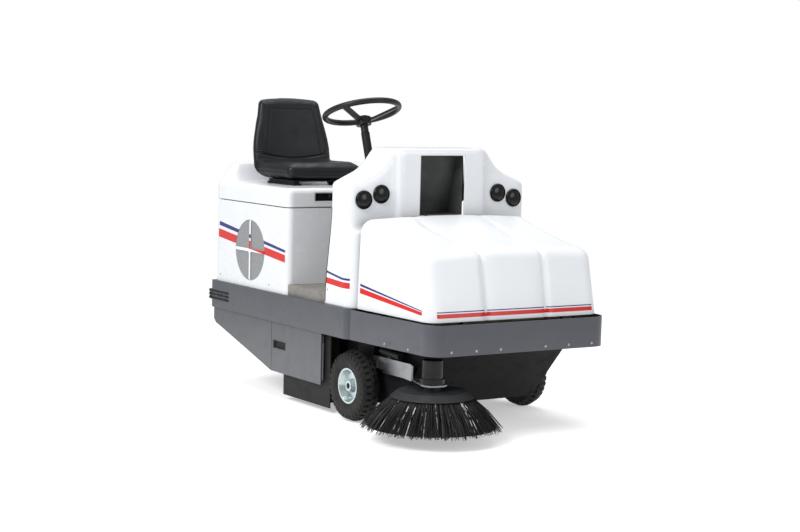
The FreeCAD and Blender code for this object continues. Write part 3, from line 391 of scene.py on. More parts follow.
@dataclass(frozen=True)
class Zinc(Finish):
    """Bright zinc plate with its pale spangle."""

    def base(self, graph: Graph) -> bpy.types.NodeSocket:
        """Cool patches over the plate."""
        share = graph.cells(self.patch, "F1").between(0.15, 1.5, 0.5) * 0.5 + graph.noise(0.004, 4.0) * 0.4
        return graph.mix(share.clamped(), self.colour, self.second)

    def relief(self, graph: Graph) -> Value:
        """Brushing along the surface."""
        return graph.noise(0.0015, 3.0, (1, 0.15, 1))


@dataclass(frozen=True)
class Strands(Finish):
    """Bristles that each keep their own tone, which the mesh holds as "tone", with painted highlights on a
    few.
    """

    # The colour of the painted highlights on a few strands.
    painted_gleam_colour: Colour = (0.50, 0.50, 0.49)

    def base(self, graph: Graph) -> bpy.types.NodeSocket:
        """Dark strands, with broken painted highlights on a few."""
        tone = Value(graph, graph.node("ShaderNodeAttribute", {"attribute_name": "tone"}).outputs["Fac"])
        broken = graph.noise(0.02, 3.0, (1, 1, 0.5)).between(0.50, 1.5, 0.10)
        # Painted highlight: pale broken streaks on a few strands, where light would catch them.
        pale = tone.above(0.955, 0.03) * broken
        dark = graph.mix(tone, self.colour, self.second)
        return graph.mix(pale, dark, self.painted_gleam_colour)


WHITE = (0.81, 0.825, 0.845)
COOL_WHITE = (0.765, 0.79, 0.82)
GREY_BLUE = (0.066, 0.072, 0.086)

BODY_BLUE = (Stripe(aft(0.556), aft(1.194), 0.6635, 0.012, 0.128, 0.0125),)
BODY_RED = (Stripe(aft(0.556), aft(1.201), 0.631, 0.034, 0.107, 0.008),)
FAIRING_BLUE = (
    Stripe(aft(0.073), aft(0.212), 0.5935, 0.0095, 0.151),
    Stripe(aft(-0.022), aft(0.073), 0.5935, 0.0095, 0.0),
)
FAIRING_RED = (
    Stripe(aft(0.073), aft(0.212), 0.5675, 0.0255, 0.062),
    Stripe(aft(-0.022), aft(0.073), 0.5675, 0.0255, 0.0),
)
HOOD_BLUE = (Stripe(aft(-0.486), aft(-0.034), 0.519, 0.004, 0.131, 0.0133),)
HOOD_RED = (Stripe(aft(-0.486), aft(-0.034), 0.508, 0.014, 0.103, 0.020),)
NOSE_HALF = 0.390
NOSE_BLUE = (Stripe(CENTRE_X - NOSE_HALF, CENTRE_X + NOSE_HALF, 0.5165, 0.0045, 0.0),)
NOSE_RED = (Stripe(CENTRE_X - NOSE_HALF, CENTRE_X + NOSE_HALF, 0.5015, 0.0165, 0.0),)


class Finishes:
    """Every finish of the machine, each made once."""

    GELCOAT = Finish("gelcoat", WHITE, COOL_WHITE, 0.20, coat=0.35, grain=0.05, depth=0.0004, wear=0.05)
    HOOD = StripedGelcoat("hood_gelcoat", WHITE, COOL_WHITE, 0.32, coat=0.12, shine=0.35, grain=0.06,
                          depth=0.0004, wear=0.05, blue=HOOD_BLUE, red=HOOD_RED, front_blue=NOSE_BLUE,
                          front_red=NOSE_RED)
    FAIRING = StripedGelcoat("fairing_gelcoat", WHITE, COOL_WHITE, 0.22, coat=0.35, grain=0.06,
                             depth=0.0004, wear=0.05, blue=FAIRING_BLUE, red=FAIRING_RED, flank=0.455)
    BODY = StripedGelcoat("body_gelcoat", WHITE, COOL_WHITE, 0.24, coat=0.5, grain=0.06, depth=0.0003,
                          wear=0.05, dust=0.02, blue=BODY_BLUE, red=BODY_RED, flank=0.4615)
    VENT = VentPlastic("vent_plastic", WHITE, COOL_WHITE, 0.42, depth=0.0008, blue=BODY_BLUE, red=BODY_RED)
    PAINT = Finish("grey_paint", GREY_BLUE, (0.056, 0.062, 0.076), 0.36, coat=0.25, grain=0.0025,
                   depth=0.00008, dust=0.12, dust_top=0.45)
    BLACK = Finish("black_steel", (0.006, 0.006, 0.007), (0.010, 0.010, 0.011), 0.55, shine=0.12)
    MOTOR = Finish("motor_enamel", (0.007, 0.007, 0.008), (0.012, 0.012, 0.013), 0.40, shine=0.25)
    ZINC = Zinc("zinc_plate", (0.46, 0.47, 0.48), (0.26, 0.27, 0.29), 0.30, metallic=1.0, patch=0.01,
                wear=0.2)
    WHEEL_ZINC = Zinc("wheel_zinc", (0.66, 0.71, 0.72), (0.38, 0.46, 0.47), 0.20, metallic=1.0, patch=0.012,
                      wear=0.18, dust=0.06)
    TYRE = Finish("tyre_rubber", (0.008, 0.008, 0.009), (0.014, 0.014, 0.014), 0.62, shine=0.2, patch=0.04,
                  grain=0.0015, depth=0.00012, dust=0.06, dust_top=0.32)
    RUBBER = Finish("soft_rubber", (0.007, 0.007, 0.008), (0.012, 0.012, 0.012), 0.55, shine=0.25,
                    depth=0.0001)
    FLOOR = Finish("floor_plate", (0.20, 0.18, 0.16), (0.31, 0.29, 0.27), 0.42, metallic=0.6, patch=0.05,
                   wear=0.25, dust=0.0)
    LAMP = Finish("lamp_black", (0.004, 0.004, 0.004), (0.006, 0.006, 0.006), 0.14, shine=0.28,
                  depth=0.00003, wear=0.04)
    LINER = Finish("dark_liner", (0.030, 0.032, 0.033), (0.075, 0.077, 0.077), 0.62, shine=0.3, patch=0.10,
                   wear=0.15)
    DASH = Finish("dash_plastic", (0.007, 0.007, 0.008), (0.010, 0.010, 0.011), 0.50, shine=0.2,
                  grain=0.0012, depth=0.0001)
    PLASTIC = Finish("wheel_plastic", (0.006, 0.006, 0.007), (0.010, 0.010, 0.011), 0.34, shine=0.3,
                     grain=0.0012, depth=0.00006)
    DISC = Finish("disc_plastic", (0.008, 0.009, 0.010), (0.020, 0.022, 0.023), 0.48, shine=0.25,
                  patch=0.05)
    VINYL = Vinyl("black_vinyl", (0.0060, 0.0064, 0.0080), (0.009, 0.010, 0.012), 0.38, shine=0.26,
                  depth=0.00016)
    FILTER = Finish("filter_paper", (0.55, 0.50, 0.38), (0.42, 0.37, 0.28), 0.80, patch=0.03)
    BATTERY = Finish("battery_case", (0.018, 0.018, 0.020), (0.030, 0.030, 0.032), 0.45, dust=0.1)
    BRISTLE = Strands("bristle", (0.004, 0.004, 0.005), (0.016, 0.016, 0.017), 0.42, shine=0.2)

    def __init__(self) -> None:
        """Starts with none made."""
        self.made: dict[str, bpy.types.Material] = {}

    def get(self, finish: Finish) -> bpy.types.Material:
        """The material of a finish, made the first time it is asked for."""
        if finish.name not in self.made:
            self.made[finish.name] = finish.build()
        return self.made[finish.name]


finishes = Finishes()

NODE_FINISHES: dict[Finish, tuple[str, ...]] = {
    Finishes.PAINT: ("side_rail_right", "side_rail_left", "rear_rail", "lower_panel_right",
                     "lower_panel_left", "door_right", "door_left", "front_bumper"),
    Finishes.BODY: ("seat_body",),
    Finishes.VENT: ("vent_grille",),
    Finishes.BLACK: ("front_cross_member", "turntable_plate", "brush_housing", "wheel_bracket_right",
                     "wheel_bracket_left", "hopper_tub", "hopper_ears", "brush_arms", "steering_fork",
                     "battery_tray", "lid_hinge", "seat_rails", "seat_frame"),
    Finishes.MOTOR: ("drive_motor", "brush_motor", "suction_fan", "side_brush_motor"),
    Finishes.ZINC: ("side_brush_arm", "drag_link", "pitman_arm", "ignition_key"),
    Finishes.WHEEL_ZINC: ("rim_right", "rim_left", "rear_rim"),
    Finishes.RUBBER: ("side_flaps", "rear_bumpers", "brake_pedal", "drive_pedal"),
    Finishes.FLOOR: ("footwell_floor",),
    Finishes.LAMP: ("lamp_caps",),
    Finishes.LINER: ("window_liner",),
    Finishes.DASH: ("dashboard", "steering_column", "horn_button", "main_brush_lever", "side_brush_lever"),
    Finishes.PLASTIC: ("steering_wheel",),
    Finishes.DISC: ("side_brush_disc",),
    Finishes.FILTER: ("filter_panel",),
    Finishes.BATTERY: ("batteries",),
    Finishes.BRISTLE: ("main_brush",),
}


# ---------------------------------------------------------------- forms
def smoothstep(value: float, low: float, high: float) -> float:
    """0 below low, 1 above high and smooth between them."""
    share = min(1.0, max(0.0, (value - low) / (high - low)))
    return share * share * (3 - 2 * share)


def steps(low: float, high: float, size: float, *marks: float) -> list[float]:
    """Places from low to high about size apart, with the marks added."""
    count = max(1, round((high - low) / size))
    return sorted({*(low + (high - low) * i / count for i in range(1, count)), *marks})


def bell(value: float, middle: float, width: float) -> float:
    """A smooth hump of height 1 about the middle."""
    return math.exp(-(((value - middle) / width) ** 2))


class Form:
    """A mesh under construction."""

    def __init__(self) -> None:
        """Starts with nothing."""
        self.bm = bmesh.new()

    def block(self, low: Vector, high: Vector) -> list[bmesh.types.BMVert]:
        """Adds a plain box and returns its corners."""
        place = Matrix.Translation((low + high) / 2) @ Matrix.Diagonal((*(high - low), 1.0))
        return bmesh.ops.create_cube(self.bm, size=1.0, matrix=place)["verts"]

    def slab(self, outline: list[tuple[float, float]], y0: float, y1: float) -> None:
        """Adds an outline of X and Z points as a solid from y0 to y1."""
        face = self.bm.faces.new([self.bm.verts.new((x, y0, z)) for x, z in outline])
        made = bmesh.ops.extrude_face_region(self.bm, geom=[face])["geom"]
        moved = [v for v in made if isinstance(v, bmesh.types.BMVert)]
        bmesh.ops.translate(self.bm, verts=moved, vec=(0, y1 - y0, 0))

    def lathe(self, profile: list[tuple[float, float]], centre: Vector, axis: Vector, turns: int = 96,
              closed: bool = True) -> None:
        """Spins a profile of (radius, along) points about an axis through centre."""
        side = Vector((0, 0, 1)) if abs(axis.z) < 0.9 else Vector((1, 0, 0))
        side = (side - axis * side.dot(axis)).normalized()
        verts = [self.bm.verts.new(centre + side * radius + axis * along) for radius, along in profile]
        edges = [self.bm.edges.new((verts[i - 1], verts[i])) for i in range(0 if closed else 1, len(verts))]
        bmesh.ops.spin(self.bm, geom=verts + edges, cent=centre, axis=axis, angle=2 * math.pi,
                       steps=turns, use_merge=True)

    def cut(self, point: Vector, normal: Vector, clear: bool = False) -> list[bmesh.types.BMEdge]:
        """Cuts the mesh by a plane.

        Args:
            point: a point of the plane.
            normal: the plane's normal.
            clear: whether what lies beyond the plane goes.

        Returns:
            The edges of the cut.
        """
        geometry = [*self.bm.verts, *self.bm.edges, *self.bm.faces]
        made = bmesh.ops.bisect_plane(self.bm, geom=geometry, plane_co=point, plane_no=normal,
                                      clear_outer=clear, dist=1e-6)["geom_cut"]
        return [part for part in made if isinstance(part, bmesh.types.BMEdge)]

    def slice(self, axis: int, places: Iterable[float]) -> None:
        """Cuts edge loops across an axis without parting the mesh."""
        normal = Vector(1.0 if i == axis else 0.0 for i in range(3))
        for place in places:
            self.cut(normal * place, normal)

    def trim(self, point: Vector, normal: Vector) -> None:
        """Takes away what lies beyond a plane, on the side its normal points to."""
        self.cut(point, normal, True)

    def chamfer(self, point: Vector, normal: Vector) -> None:
        """Cuts a solid by a plane and closes it again."""
        bmesh.ops.holes_fill(self.bm, edges=self.cut(point, normal, True), sides=0)

    def smooth(self, passes: int) -> None:
        """Evens the surface out by so many passes."""
        for _ in range(passes):
            bmesh.ops.smooth_vert(self.bm, verts=self.bm.verts, factor=0.5,
                                  use_axis_x=True, use_axis_y=True, use_axis_z=True)

    def hollow(self, mouth: list[bmesh.types.BMFace], lip: float, push: Vector) -> None:
        """Insets the mouth by a lip and pushes it in."""
        bmesh.ops.inset_region(self.bm, faces=mouth, thickness=lip)
        bmesh.ops.translate(self.bm, verts=list({v for f in mouth for v in f.verts}), vec=push)

    def add(self, other: "Form") -> None:
        """Adds another form's solids."""
        mesh = other.mesh("part")
        self.bm.from_mesh(mesh)
        bpy.data.meshes.remove(mesh)

    def drop(self, test: Callable[[Vector], bool]) -> None:
        """Deletes the faces whose middle passes the test."""
        doomed = [f for f in self.bm.faces if test(f.calc_center_median())]
        bmesh.ops.delete(self.bm, geom=doomed, context="FACES")

    def shape(self, move: Shape, verts: Iterable[bmesh.types.BMVert] | None = None) -> None:
        """Moves each vertex to where the function puts it."""
        for vert in verts or self.bm.verts:
            vert.co = move(vert.co.copy())

    def round_off(self, low: Vector, high: Vector, radius: float) -> None:
        """Rounds the edges of a sliced box."""
        inner_low, inner_high = low + Vector((radius,) * 3), high - Vector((radius,) * 3)

        def rounded(point: Vector) -> Vector:
            """The point on the rounded box."""
            core = Vector(min(max(p, a), b) for p, a, b in zip(point, inner_low, inner_high))
            out = point - core
            return core + out.normalized() * radius if out.length > 1e-9 else point

        self.shape(rounded)

    def outward(self) -> None:
        """Merges doubles and turns every face outwards."""
        bmesh.ops.remove_doubles(self.bm, verts=self.bm.verts, dist=1e-6)
        bmesh.ops.recalc_face_normals(self.bm, faces=self.bm.faces)

    def mesh(self, name: str) -> bpy.types.Mesh:
        """The finished mesh."""
        made = bpy.data.meshes.new(name)
        self.bm.to_mesh(made)
        self.bm.free()
        return made


@dataclass
class Piece:
    """A shown piece: its name, the body it moves with, its finish and the nodes it stands for."""

    name: str
    body: str
    finish: Finish
    slot: str
    nodes: tuple[str, ...] = ()
    wall: float = 0.0
    sharp: float = 35.0

    def make(self, form: Form | bpy.types.Mesh) -> bpy.types.Object:
        """Puts a form into the scene as this piece.

        Args:
            form: the form or the mesh.

        Returns:
            The piece's object.
        """
        mesh = form.mesh(self.name) if isinstance(form, Form) else form
        made = bpy.data.objects.new(self.name, mesh)
        bpy.context.scene.collection.objects.link(made)
        mesh.materials.clear()
        mesh.materials.append(finishes.get(self.finish))
        if self.wall:
            solid = made.modifiers.new("wall", "SOLIDIFY")
            solid.thickness, solid.offset = self.wall, -1.0
        mesh.shade_smooth()
        mesh.set_sharp_from_angle(angle=math.radians(self.sharp))
        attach(made, self.body)
        if self.nodes:
            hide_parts(*self.nodes)
        log.info("%s: %d faces on %s", self.name, len(mesh.polygons), self.body)
        return made


def applied(obj: bpy.types.Object) -> bpy.types.Mesh:
    """The mesh of an object with its modifiers applied; the object is removed."""
    depsgraph = bpy.context.evaluated_depsgraph_get()
    made = bpy.data.meshes.new_from_object(obj.evaluated_get(depsgraph))
    bpy.data.objects.remove(obj)
    return made


def remeshed(form: Form, voxel: float) -> Form:
    """One even skin round all the solids of a form."""
    obj = bpy.data.objects.new("draft", form.mesh("draft"))
    bpy.context.scene.collection.objects.link(obj)
    remesh = obj.modifiers.new("skin", "REMESH")
    remesh.mode, remesh.voxel_size = "VOXEL", voxel
    skin = Form()
    skin.bm.from_mesh(applied(obj))
    return skin


# ---------------------------------------------------------------- white shells
@dataclass
class Hood:
    """The hood: three soft panels over the top and down the front, parted by two grooves."""

    wall: float = 0.005
    cell: float = 0.012
    edge: float = 0.058
    front_height: float = 0.757
    bend: float = 0.45
    swell: float = 0.002
    lean: float = 0.052
    front_narrow: float = 0.03
    side_lean: float = 0.012
    crown: float = 0.014
    groove_front: float = 0.150
    groove_rear: float = 0.185
    groove_width: float = 0.011
    groove_depth: float = 0.008

    def build(self) -> bpy.types.Object:
        """Models the shell and dresses it."""
        low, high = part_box("hood")
        block_low, block_high = low - Vector((0, 0, self.edge)), high + Vector((0, self.edge, 0))
        form = Form()
        form.block(block_low, block_high)
        grooves = [self.groove_front + s * self.groove_width / 2 for s in (-3, -2, -1, 0, 1, 2, 3)]
        marks = [CENTRE_X + side * g for g in grooves for side in (-1, 1)]
        form.slice(0, steps(block_low.x, block_high.x, self.cell, *marks))
        form.slice(1, steps(block_low.y, block_high.y, self.cell))
        form.slice(2, steps(block_low.z, block_high.z, self.cell))
        form.round_off(block_low, block_high, self.edge)
        form.shape(lambda p: self.drawn(p, low, high))
        form.bm.normal_update()
        self.press_grooves(form, low, high)
        form.trim(Vector((0, 0, low.z)), Vector((0, 0, -1)))
        form.trim(Vector((0, high.y, 0)), Vector((0, 1, 0)))
        form.outward()
        piece = Piece("hood_shell", "hood", Finishes.HOOD, "white_gelcoat", ("hood",), self.wall, 60)
        return piece.make(form)

    def drawn(self, p: Vector, low: Vector, high: Vector) -> Vector:
        """Draws the rounded block into the hood's lines."""
        ahead = min(1.0, max(0.0, (high.y - p.y) / (high.y - low.y)))
        up = (p.z - low.z) / (high.z - low.z)
        across = (p.x - CENTRE_X) / (high.x - CENTRE_X)
        drop = (high.z - self.front_height) * ((1 + self.bend) * ahead - self.bend * ahead * ahead)
        lift = max(0.0, up)
        p.z -= drop * lift + self.crown * lift * across * across
        p.x = CENTRE_X + (p.x - CENTRE_X) * (1 - self.front_narrow * ahead) * (1 - self.side_lean * 2 * lift)
        p.y += self.lean * ahead * lift
        return p

    def press_grooves(self, form: Form, low: Vector, high: Vector) -> None:
        """Presses the two grooves in and swells the panels between them."""
        for vert in form.bm.verts:
            ahead = (high.y - vert.co.y) / (high.y - low.y)
            groove = self.groove_rear + (self.groove_front - self.groove_rear) * min(1.0, max(0.0, ahead))
            facing = smoothstep(max(-vert.normal.y, vert.normal.z), 0.55, 0.85)
            across = abs(vert.co.x - CENTRE_X)
            depth = self.groove_depth * bell(across, groove, self.groove_width)
            depth *= smoothstep(ahead, 0.02, 0.30)
            depth += self.swell * smoothstep(across, groove - 0.06, groove) * (across < groove)
            vert.co -= vert.normal * depth * facing


@dataclass
class Fairing:
    """The upright fairing: two shoulders with the lamps, and the tower with its window."""

    wall: float = 0.005
    voxel: float = 0.007
    passes: int = 14
    tower_proud: float = 0.017
    step_height: float = 0.800
    tower_foot: float = 0.700
    tower_half: float = 0.221
    step_proud: float = 0.006
    spare: float = 0.06
    sill: float = 0.004
    head: float = 0.001
    opening_half: float = 0.20
    corner: float = 0.055
    rear_lean: float = 0.045
    # Size and place of the black strip along the rear edges.
    dark_strip: float = 0.005
    dark_strip_lap: float = 0.012
    dark_strip_gap: float = 0.010
    dark_strip_top: float = 0.885

    def rounded_plan(self, outline: list[tuple[float, float]], front: float, rear: float, half: float,
                     radius: float) -> Form:
        """An upright slab whose two front corners are rounded in plan."""
        form = Form()
        form.slab(outline, front, rear)
        for side in Side:
            core = Vector((CENTRE_X + side.value * (half - radius), front + radius, 0))
            for angle in (15, 30, 45, 60, 75):
                out = Vector((side.value * math.cos(math.radians(angle)), -math.sin(math.radians(angle)), 0))
                form.chamfer(core + out * radius, out)
        return form

    def edge_strips(self, low: Vector, high: Vector) -> None:
        """A black strip along both rear edges, from the rail to the shoulder."""
        form = Form()
        foot = low.z + self.dark_strip_gap
        for side in Side:
            near, far = side.span(side.face((low, high)), PROUD, self.dark_strip_lap)
            form.block(Vector((near, high.y - self.dark_strip, foot)), Vector((far, high.y, self.dark_strip_top)))
        form.slice(2, steps(foot, self.dark_strip_top, 0.012))
        form.shape(lambda p: self.leaned(p, low, high))
        form.outward()
        Piece("fairing_edging", "chassis", Finishes.RUBBER, "soft_rubber").make(form)

    def leaned(self, p: Vector, low: Vector, high: Vector) -> Vector:
        """Leans the rear edge forward between the rail and the shoulder."""
        lean = self.rear_lean * smoothstep(p.z, 0.50, 0.92) * (1 - smoothstep(p.z, 0.95, 1.05))
        p.y -= lean * max(0.0, (p.y - low.y) / (high.y - low.y)) ** 2
        return p

    def silhouette(self, half: float, foot: float) -> list[tuple[float, float]]:
        """The outline of both shoulders and the tower, from the right foot round to the left."""
        side = [(half, foot), (half, 0.972), (0.452, 0.992), (0.335, 1.038), (0.292, 1.066),
                (0.268, 1.100), (0.243, 1.133), (0.228, 1.143)]
        right = [(CENTRE_X - x, z) for x, z in side]
        left = [(CENTRE_X + x, z) for x, z in reversed(side)]
        return right + left

    def build(self) -> bpy.types.Object:
        """Models the shell and dresses it."""
        low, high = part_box("front_fairing")
        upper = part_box("window_liner")[0].y
        half = (high.x - low.x) / 2
        deep, foot = high.y + self.spare, low.z - self.spare
        form = self.rounded_plan(self.silhouette(half, foot), upper, deep, half, self.corner)
        shoulder = [(CENTRE_X - half, foot), (CENTRE_X - half, self.step_height),
                    (CENTRE_X + half, self.step_height), (CENTRE_X + half, foot)]
        form.add(self.rounded_plan(shoulder, low.y - self.step_proud, deep, half, self.corner))
        wide, narrow, bevel = self.tower_half, self.tower_half - 0.021, high.z - 0.022
        tower = [(-wide, self.tower_foot), (-wide, bevel), (-narrow, high.z),
                 (narrow, high.z), (wide, bevel), (wide, self.tower_foot)]
        form.slab([(CENTRE_X + x, z) for x, z in tower], upper - self.tower_proud, deep)
        form.outward()
        skin = remeshed(form, self.voxel)
        skin.smooth(self.passes)
        skin.trim(Vector((0, 0, low.z)), Vector((0, 0, -1)))
        skin.trim(Vector((0, high.y, 0)), Vector((0, 1, 0)))
        window_low, window_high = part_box("window_liner")
        sill, head = window_low.z - self.sill, window_high.z - self.head
        opening = (CENTRE_X - self.opening_half, CENTRE_X + self.opening_half)
        skin.slice(0, (window_low.x, window_high.x, *opening))
        skin.slice(2, (window_low.z, head, sill))
        skin.drop(lambda p: p.y < upper + 0.03 and window_low.x < p.x < window_high.x and sill < p.z < head)
        skin.drop(lambda p: p.y < upper + 0.02 and opening[0] < p.x < opening[1] and p.z < sill)
        skin.shape(lambda p: self.leaned(p, low, high))
        skin.outward()
        self.edge_strips(low, high)
        piece = Piece("fairing_shell", "chassis", Finishes.FAIRING, "white_gelcoat", ("front_fairing",),
                      self.wall, 50)
        return piece.make(skin)


@dataclass
class Lid:
    """The compartment lid: soft edges, a hump behind the seat and a black grip cup."""

    wall: float = 0.004
    cell: float = 0.012
    edge: float = 0.026
    deck: float = 0.945
    hump_start: float = aft(1.130)
    hump_full: float = aft(1.180)
    side_slope: float = 0.085
    grip: tuple[float, float] = (CENTRE_X - 0.325, CENTRE_X - 0.110)
    grip_rise: float = 0.062
    grip_height: float = 0.036
    grip_depth: float = 0.022
    lip: float = 0.003

    def build(self) -> None:
        """Models the lid and its grip."""
        low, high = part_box("seat_lid")
        front, rear = low.y, body_box[1].y
        top = Vector((high.x, rear, self.deck))
        bottom = Vector((low.x, front, low.z - self.edge))
        grip_top = low.z + self.grip_rise
        left, right = self.grip
        sill = grip_top - self.grip_height
        form = Form()
        form.block(bottom, top)
        form.slice(0, steps(bottom.x, top.x, self.cell, left, right))
        form.slice(1, steps(bottom.y, top.y, self.cell))
        form.slice(2, steps(bottom.z, top.z, self.cell / 2, sill, grip_top))
        form.round_off(bottom, top, self.edge)
        form.shape(lambda p: self.raised(p, low, high))
        form.trim(Vector((0, 0, low.z)), Vector((0, 0, -1)))
        form.drop(lambda p: p.y < front + 0.004 and left < p.x < right and sill < p.z < grip_top)
        form.outward()
        Piece("lid_shell", "lid", Finishes.GELCOAT, "white_gelcoat", ("seat_lid",), self.wall).make(form)
        cup = Form()
        cup.block(Vector((left - self.lip, front - PROUD, sill - self.lip)),
                  Vector((right + self.lip, front + self.grip_depth, grip_top + self.lip)))
        mouth = [f for f in cup.bm.faces if f.normal.y < -0.9]
        cup.hollow(mouth, self.lip + 0.001, Vector((0, self.grip_depth - 0.004, 0)))
        cup.outward()
        Piece("lid_grip_cup", "lid", Finishes.DASH, "dash_plastic").make(cup)

    def raised(self, p: Vector, low: Vector, high: Vector) -> Vector:
        """Raises the hump behind the seat."""
        up = max(0.0, (p.z - low.z) / (self.deck - low.z))
        side = min(p.x - low.x, high.x - p.x)
        hump = smoothstep(p.y, self.hump_start, self.hump_full) * smoothstep(side, 0.0, self.side_slope)
        p.z += (high.z - self.deck) * hump * smoothstep(up, 0.3, 1.0)
        return p


# ---------------------------------------------------------------- wheels
@dataclass
class Tyre:
    """A pneumatic tyre with two rows of staggered blocks beside a centre rib."""

    node: str
    body: str
    name: str
    blocks: int = 32
    rim_radius: float = 0.073
    tread_depth: float = 0.010
    rib: float = 0.006
    root: float = 0.024
    shoulder: float = 0.016
    bevel: float = 0.0018

    def build(self) -> bpy.types.Object:
        """Models the carcass and its tread."""
        low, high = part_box(self.node)
        centre = (low + high) / 2
        radius, half = (high.z - low.z) / 2, (high.x - low.x) / 2
        base = radius - self.tread_depth
        form = Form()
        reach = self.rim_radius + base
        wall = [(self.rim_radius, 0.70), (self.rim_radius + 0.006, 0.80), (0.45 * reach, 0.99),
                (0.55 * reach, 1.0), (base - 0.018, 0.955), (base - 0.006, 0.86), (base, 0.70)]
        ring = [(r, -s * half) for r, s in wall] + [(r, s * half) for r, s in reversed(wall)]
        form.lathe(ring, centre, Vector((1, 0, 0)), 72)
        root, crest = base - 0.004, radius - 0.001
        rib = [(root, -self.rib), (crest, -self.rib), (crest, self.rib), (root, self.rib)]
        form.lathe(rib, centre, Vector((1, 0, 0)), 72)
        for side in (-1, 1):
            for i in range(self.blocks):
                angle = 2 * math.pi * (i + 0.5 * (side > 0)) / self.blocks
                self.block(form, centre, radius, half, side, angle)
        form.outward()
        return Piece(self.name, self.body, Finishes.TYRE, "tyre_rubber", (self.node,), 0.0, 30).make(form)

    def block(self, form: Form, centre: Vector, radius: float, half: float, side: int, angle: float) -> None:
        """Adds one tread block, which bends down over the shoulder."""
        pitch = 2 * math.pi * radius / self.blocks
        length, inner, outer = pitch * 0.60, self.rib * 0.6, half * 0.97
        near, far = (inner, outer) if side > 0 else (-outer, -inner)
        low = centre + Vector((near, -length / 2, radius - self.root))
        high = centre + Vector((far, length / 2, radius))
        verts = form.block(low, high)
        edges = list({e for v in verts for e in v.link_edges if e.calc_length() < half * 0.9})
        crown = [e for e in edges if all(v.co.z > high.z - 1e-5 for v in e.verts)]
        made = bmesh.ops.bevel(form.bm, geom=crown, offset=self.bevel, offset_type="OFFSET", affect="EDGES",
                               segments=1, profile=0.5, material=-1)
        verts = list({v for v in verts if v.is_valid} | set(made["verts"]))
        for vert in verts:
            out = abs(vert.co.x - centre.x) / half
            vert.co.z -= self.shoulder * smoothstep(out, 0.70, 1.0)
            vert.co.y += (out - 0.5) * side * length * 0.25
        bmesh.ops.rotate(form.bm, verts=verts, cent=centre, matrix=Matrix.Rotation(angle, 3, "X"))


# ---------------------------------------------------------------- brushes
@dataclass
class SideBrush:
    """The side brush: rings of stiff strands that splay from under the disc."""

    rings: int = 7
    strands: int = 200
    root_inner: float = 0.60
    root_outer: float = 0.965
    tip_inner: float = 0.64
    tip_outer: float = 0.99
    thick: float = 0.0021
    sway: float = 0.016
    bow: float = 0.005
    seed: int = 5

    def build(self) -> bpy.types.Object:
        """Models every strand and the dark core behind them, a closed skirt that stands partly for the hidden
        inner strands and partly for painted shade between them.
        """
        low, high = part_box("side_brush_bristles")
        centre = Vector(((low.x + high.x) / 2, (low.y + high.y) / 2, 0.0))
        rng = random.Random(self.seed)
        form = Form()
        tone = form.bm.verts.layers.float.new("tone")
        disc_low, disc_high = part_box("side_brush_disc")
        disc, reach = (disc_high.x - disc_low.x) / 2, (high.x - low.x) / 2
        # The dark core: a closed skirt in the darkest bristle tone, partly the inner strands and partly
        # painted shade in the gaps between strands.
        core = [(0.02, high.z - 0.001), (disc - 0.012, high.z - 0.001), (disc - 0.010, high.z - 0.02),
                (reach - 0.030, low.z + 0.016), (reach * 0.55, low.z + 0.014), (0.03, high.z - 0.02)]
        form.lathe(core, centre, Vector((0, 0, 1)), 64)
        for ring in range(self.rings):
            share = ring / (self.rings - 1)
            root = disc * (self.root_inner + (self.root_outer - self.root_inner) * share)
            tip = reach * (self.tip_inner + (self.tip_outer - self.tip_inner) * share)
            count = round(self.strands * (0.55 + 0.45 * share))
            for i in range(count):
                angle = 2 * math.pi * (i + rng.uniform(-0.35, 0.35)) / count
                far = tip + rng.uniform(-0.012, 0.0)
                floor = low.z + 0.001 + rng.uniform(0.0, 0.011) + 0.004 * share
                self.strand(form, tone, centre, angle, Vector((root, 0, high.z - 0.001)),
                            Vector((far, 0, floor)), rng)
        bmesh.ops.recalc_face_normals(form.bm, faces=form.bm.faces)
        return Piece("side_bristles", "side_brush", Finishes.BRISTLE, "bristle",
                     ("side_brush_bristles",), 0.0, 60).make(form)

    def strand(self, form: Form, tone: object, centre: Vector, angle: float, root: Vector, tip: Vector,
               rng: random.Random) -> None:
        """Adds one tapered strand that bows outwards and down."""
        made = bmesh.ops.create_cone(form.bm, cap_ends=True, cap_tris=True, segments=4,
                                     radius1=self.thick * 0.6, radius2=self.thick, depth=1.0)["verts"]
        geometry = list({g for v in made for g in (*v.link_edges, *v.link_faces)} | set(made))
        cut = bmesh.ops.bisect_plane(form.bm, geom=geometry, plane_co=(0, 0, 0),
                                     plane_no=(0, 0, 1))["geom_cut"]
        verts = list({*made, *(g for g in cut if isinstance(g, bmesh.types.BMVert))})
        sway = rng.uniform(-self.sway, self.sway)
        shade = rng.random()
        turn = Matrix.Rotation(angle, 3, "Z")
        for vert in verts:
            share = 0.5 - vert.co.z
            bow = self.bow * math.sin(math.pi * share)
            middle = root.lerp(tip, share) + Vector((bow, 0, bow * 0.8))
            offset = Vector((vert.co.x, vert.co.y, 0)) + Vector((0, sway * share, 0))
            vert.co = centre + turn @ (middle + offset)
            vert[tone] = shade


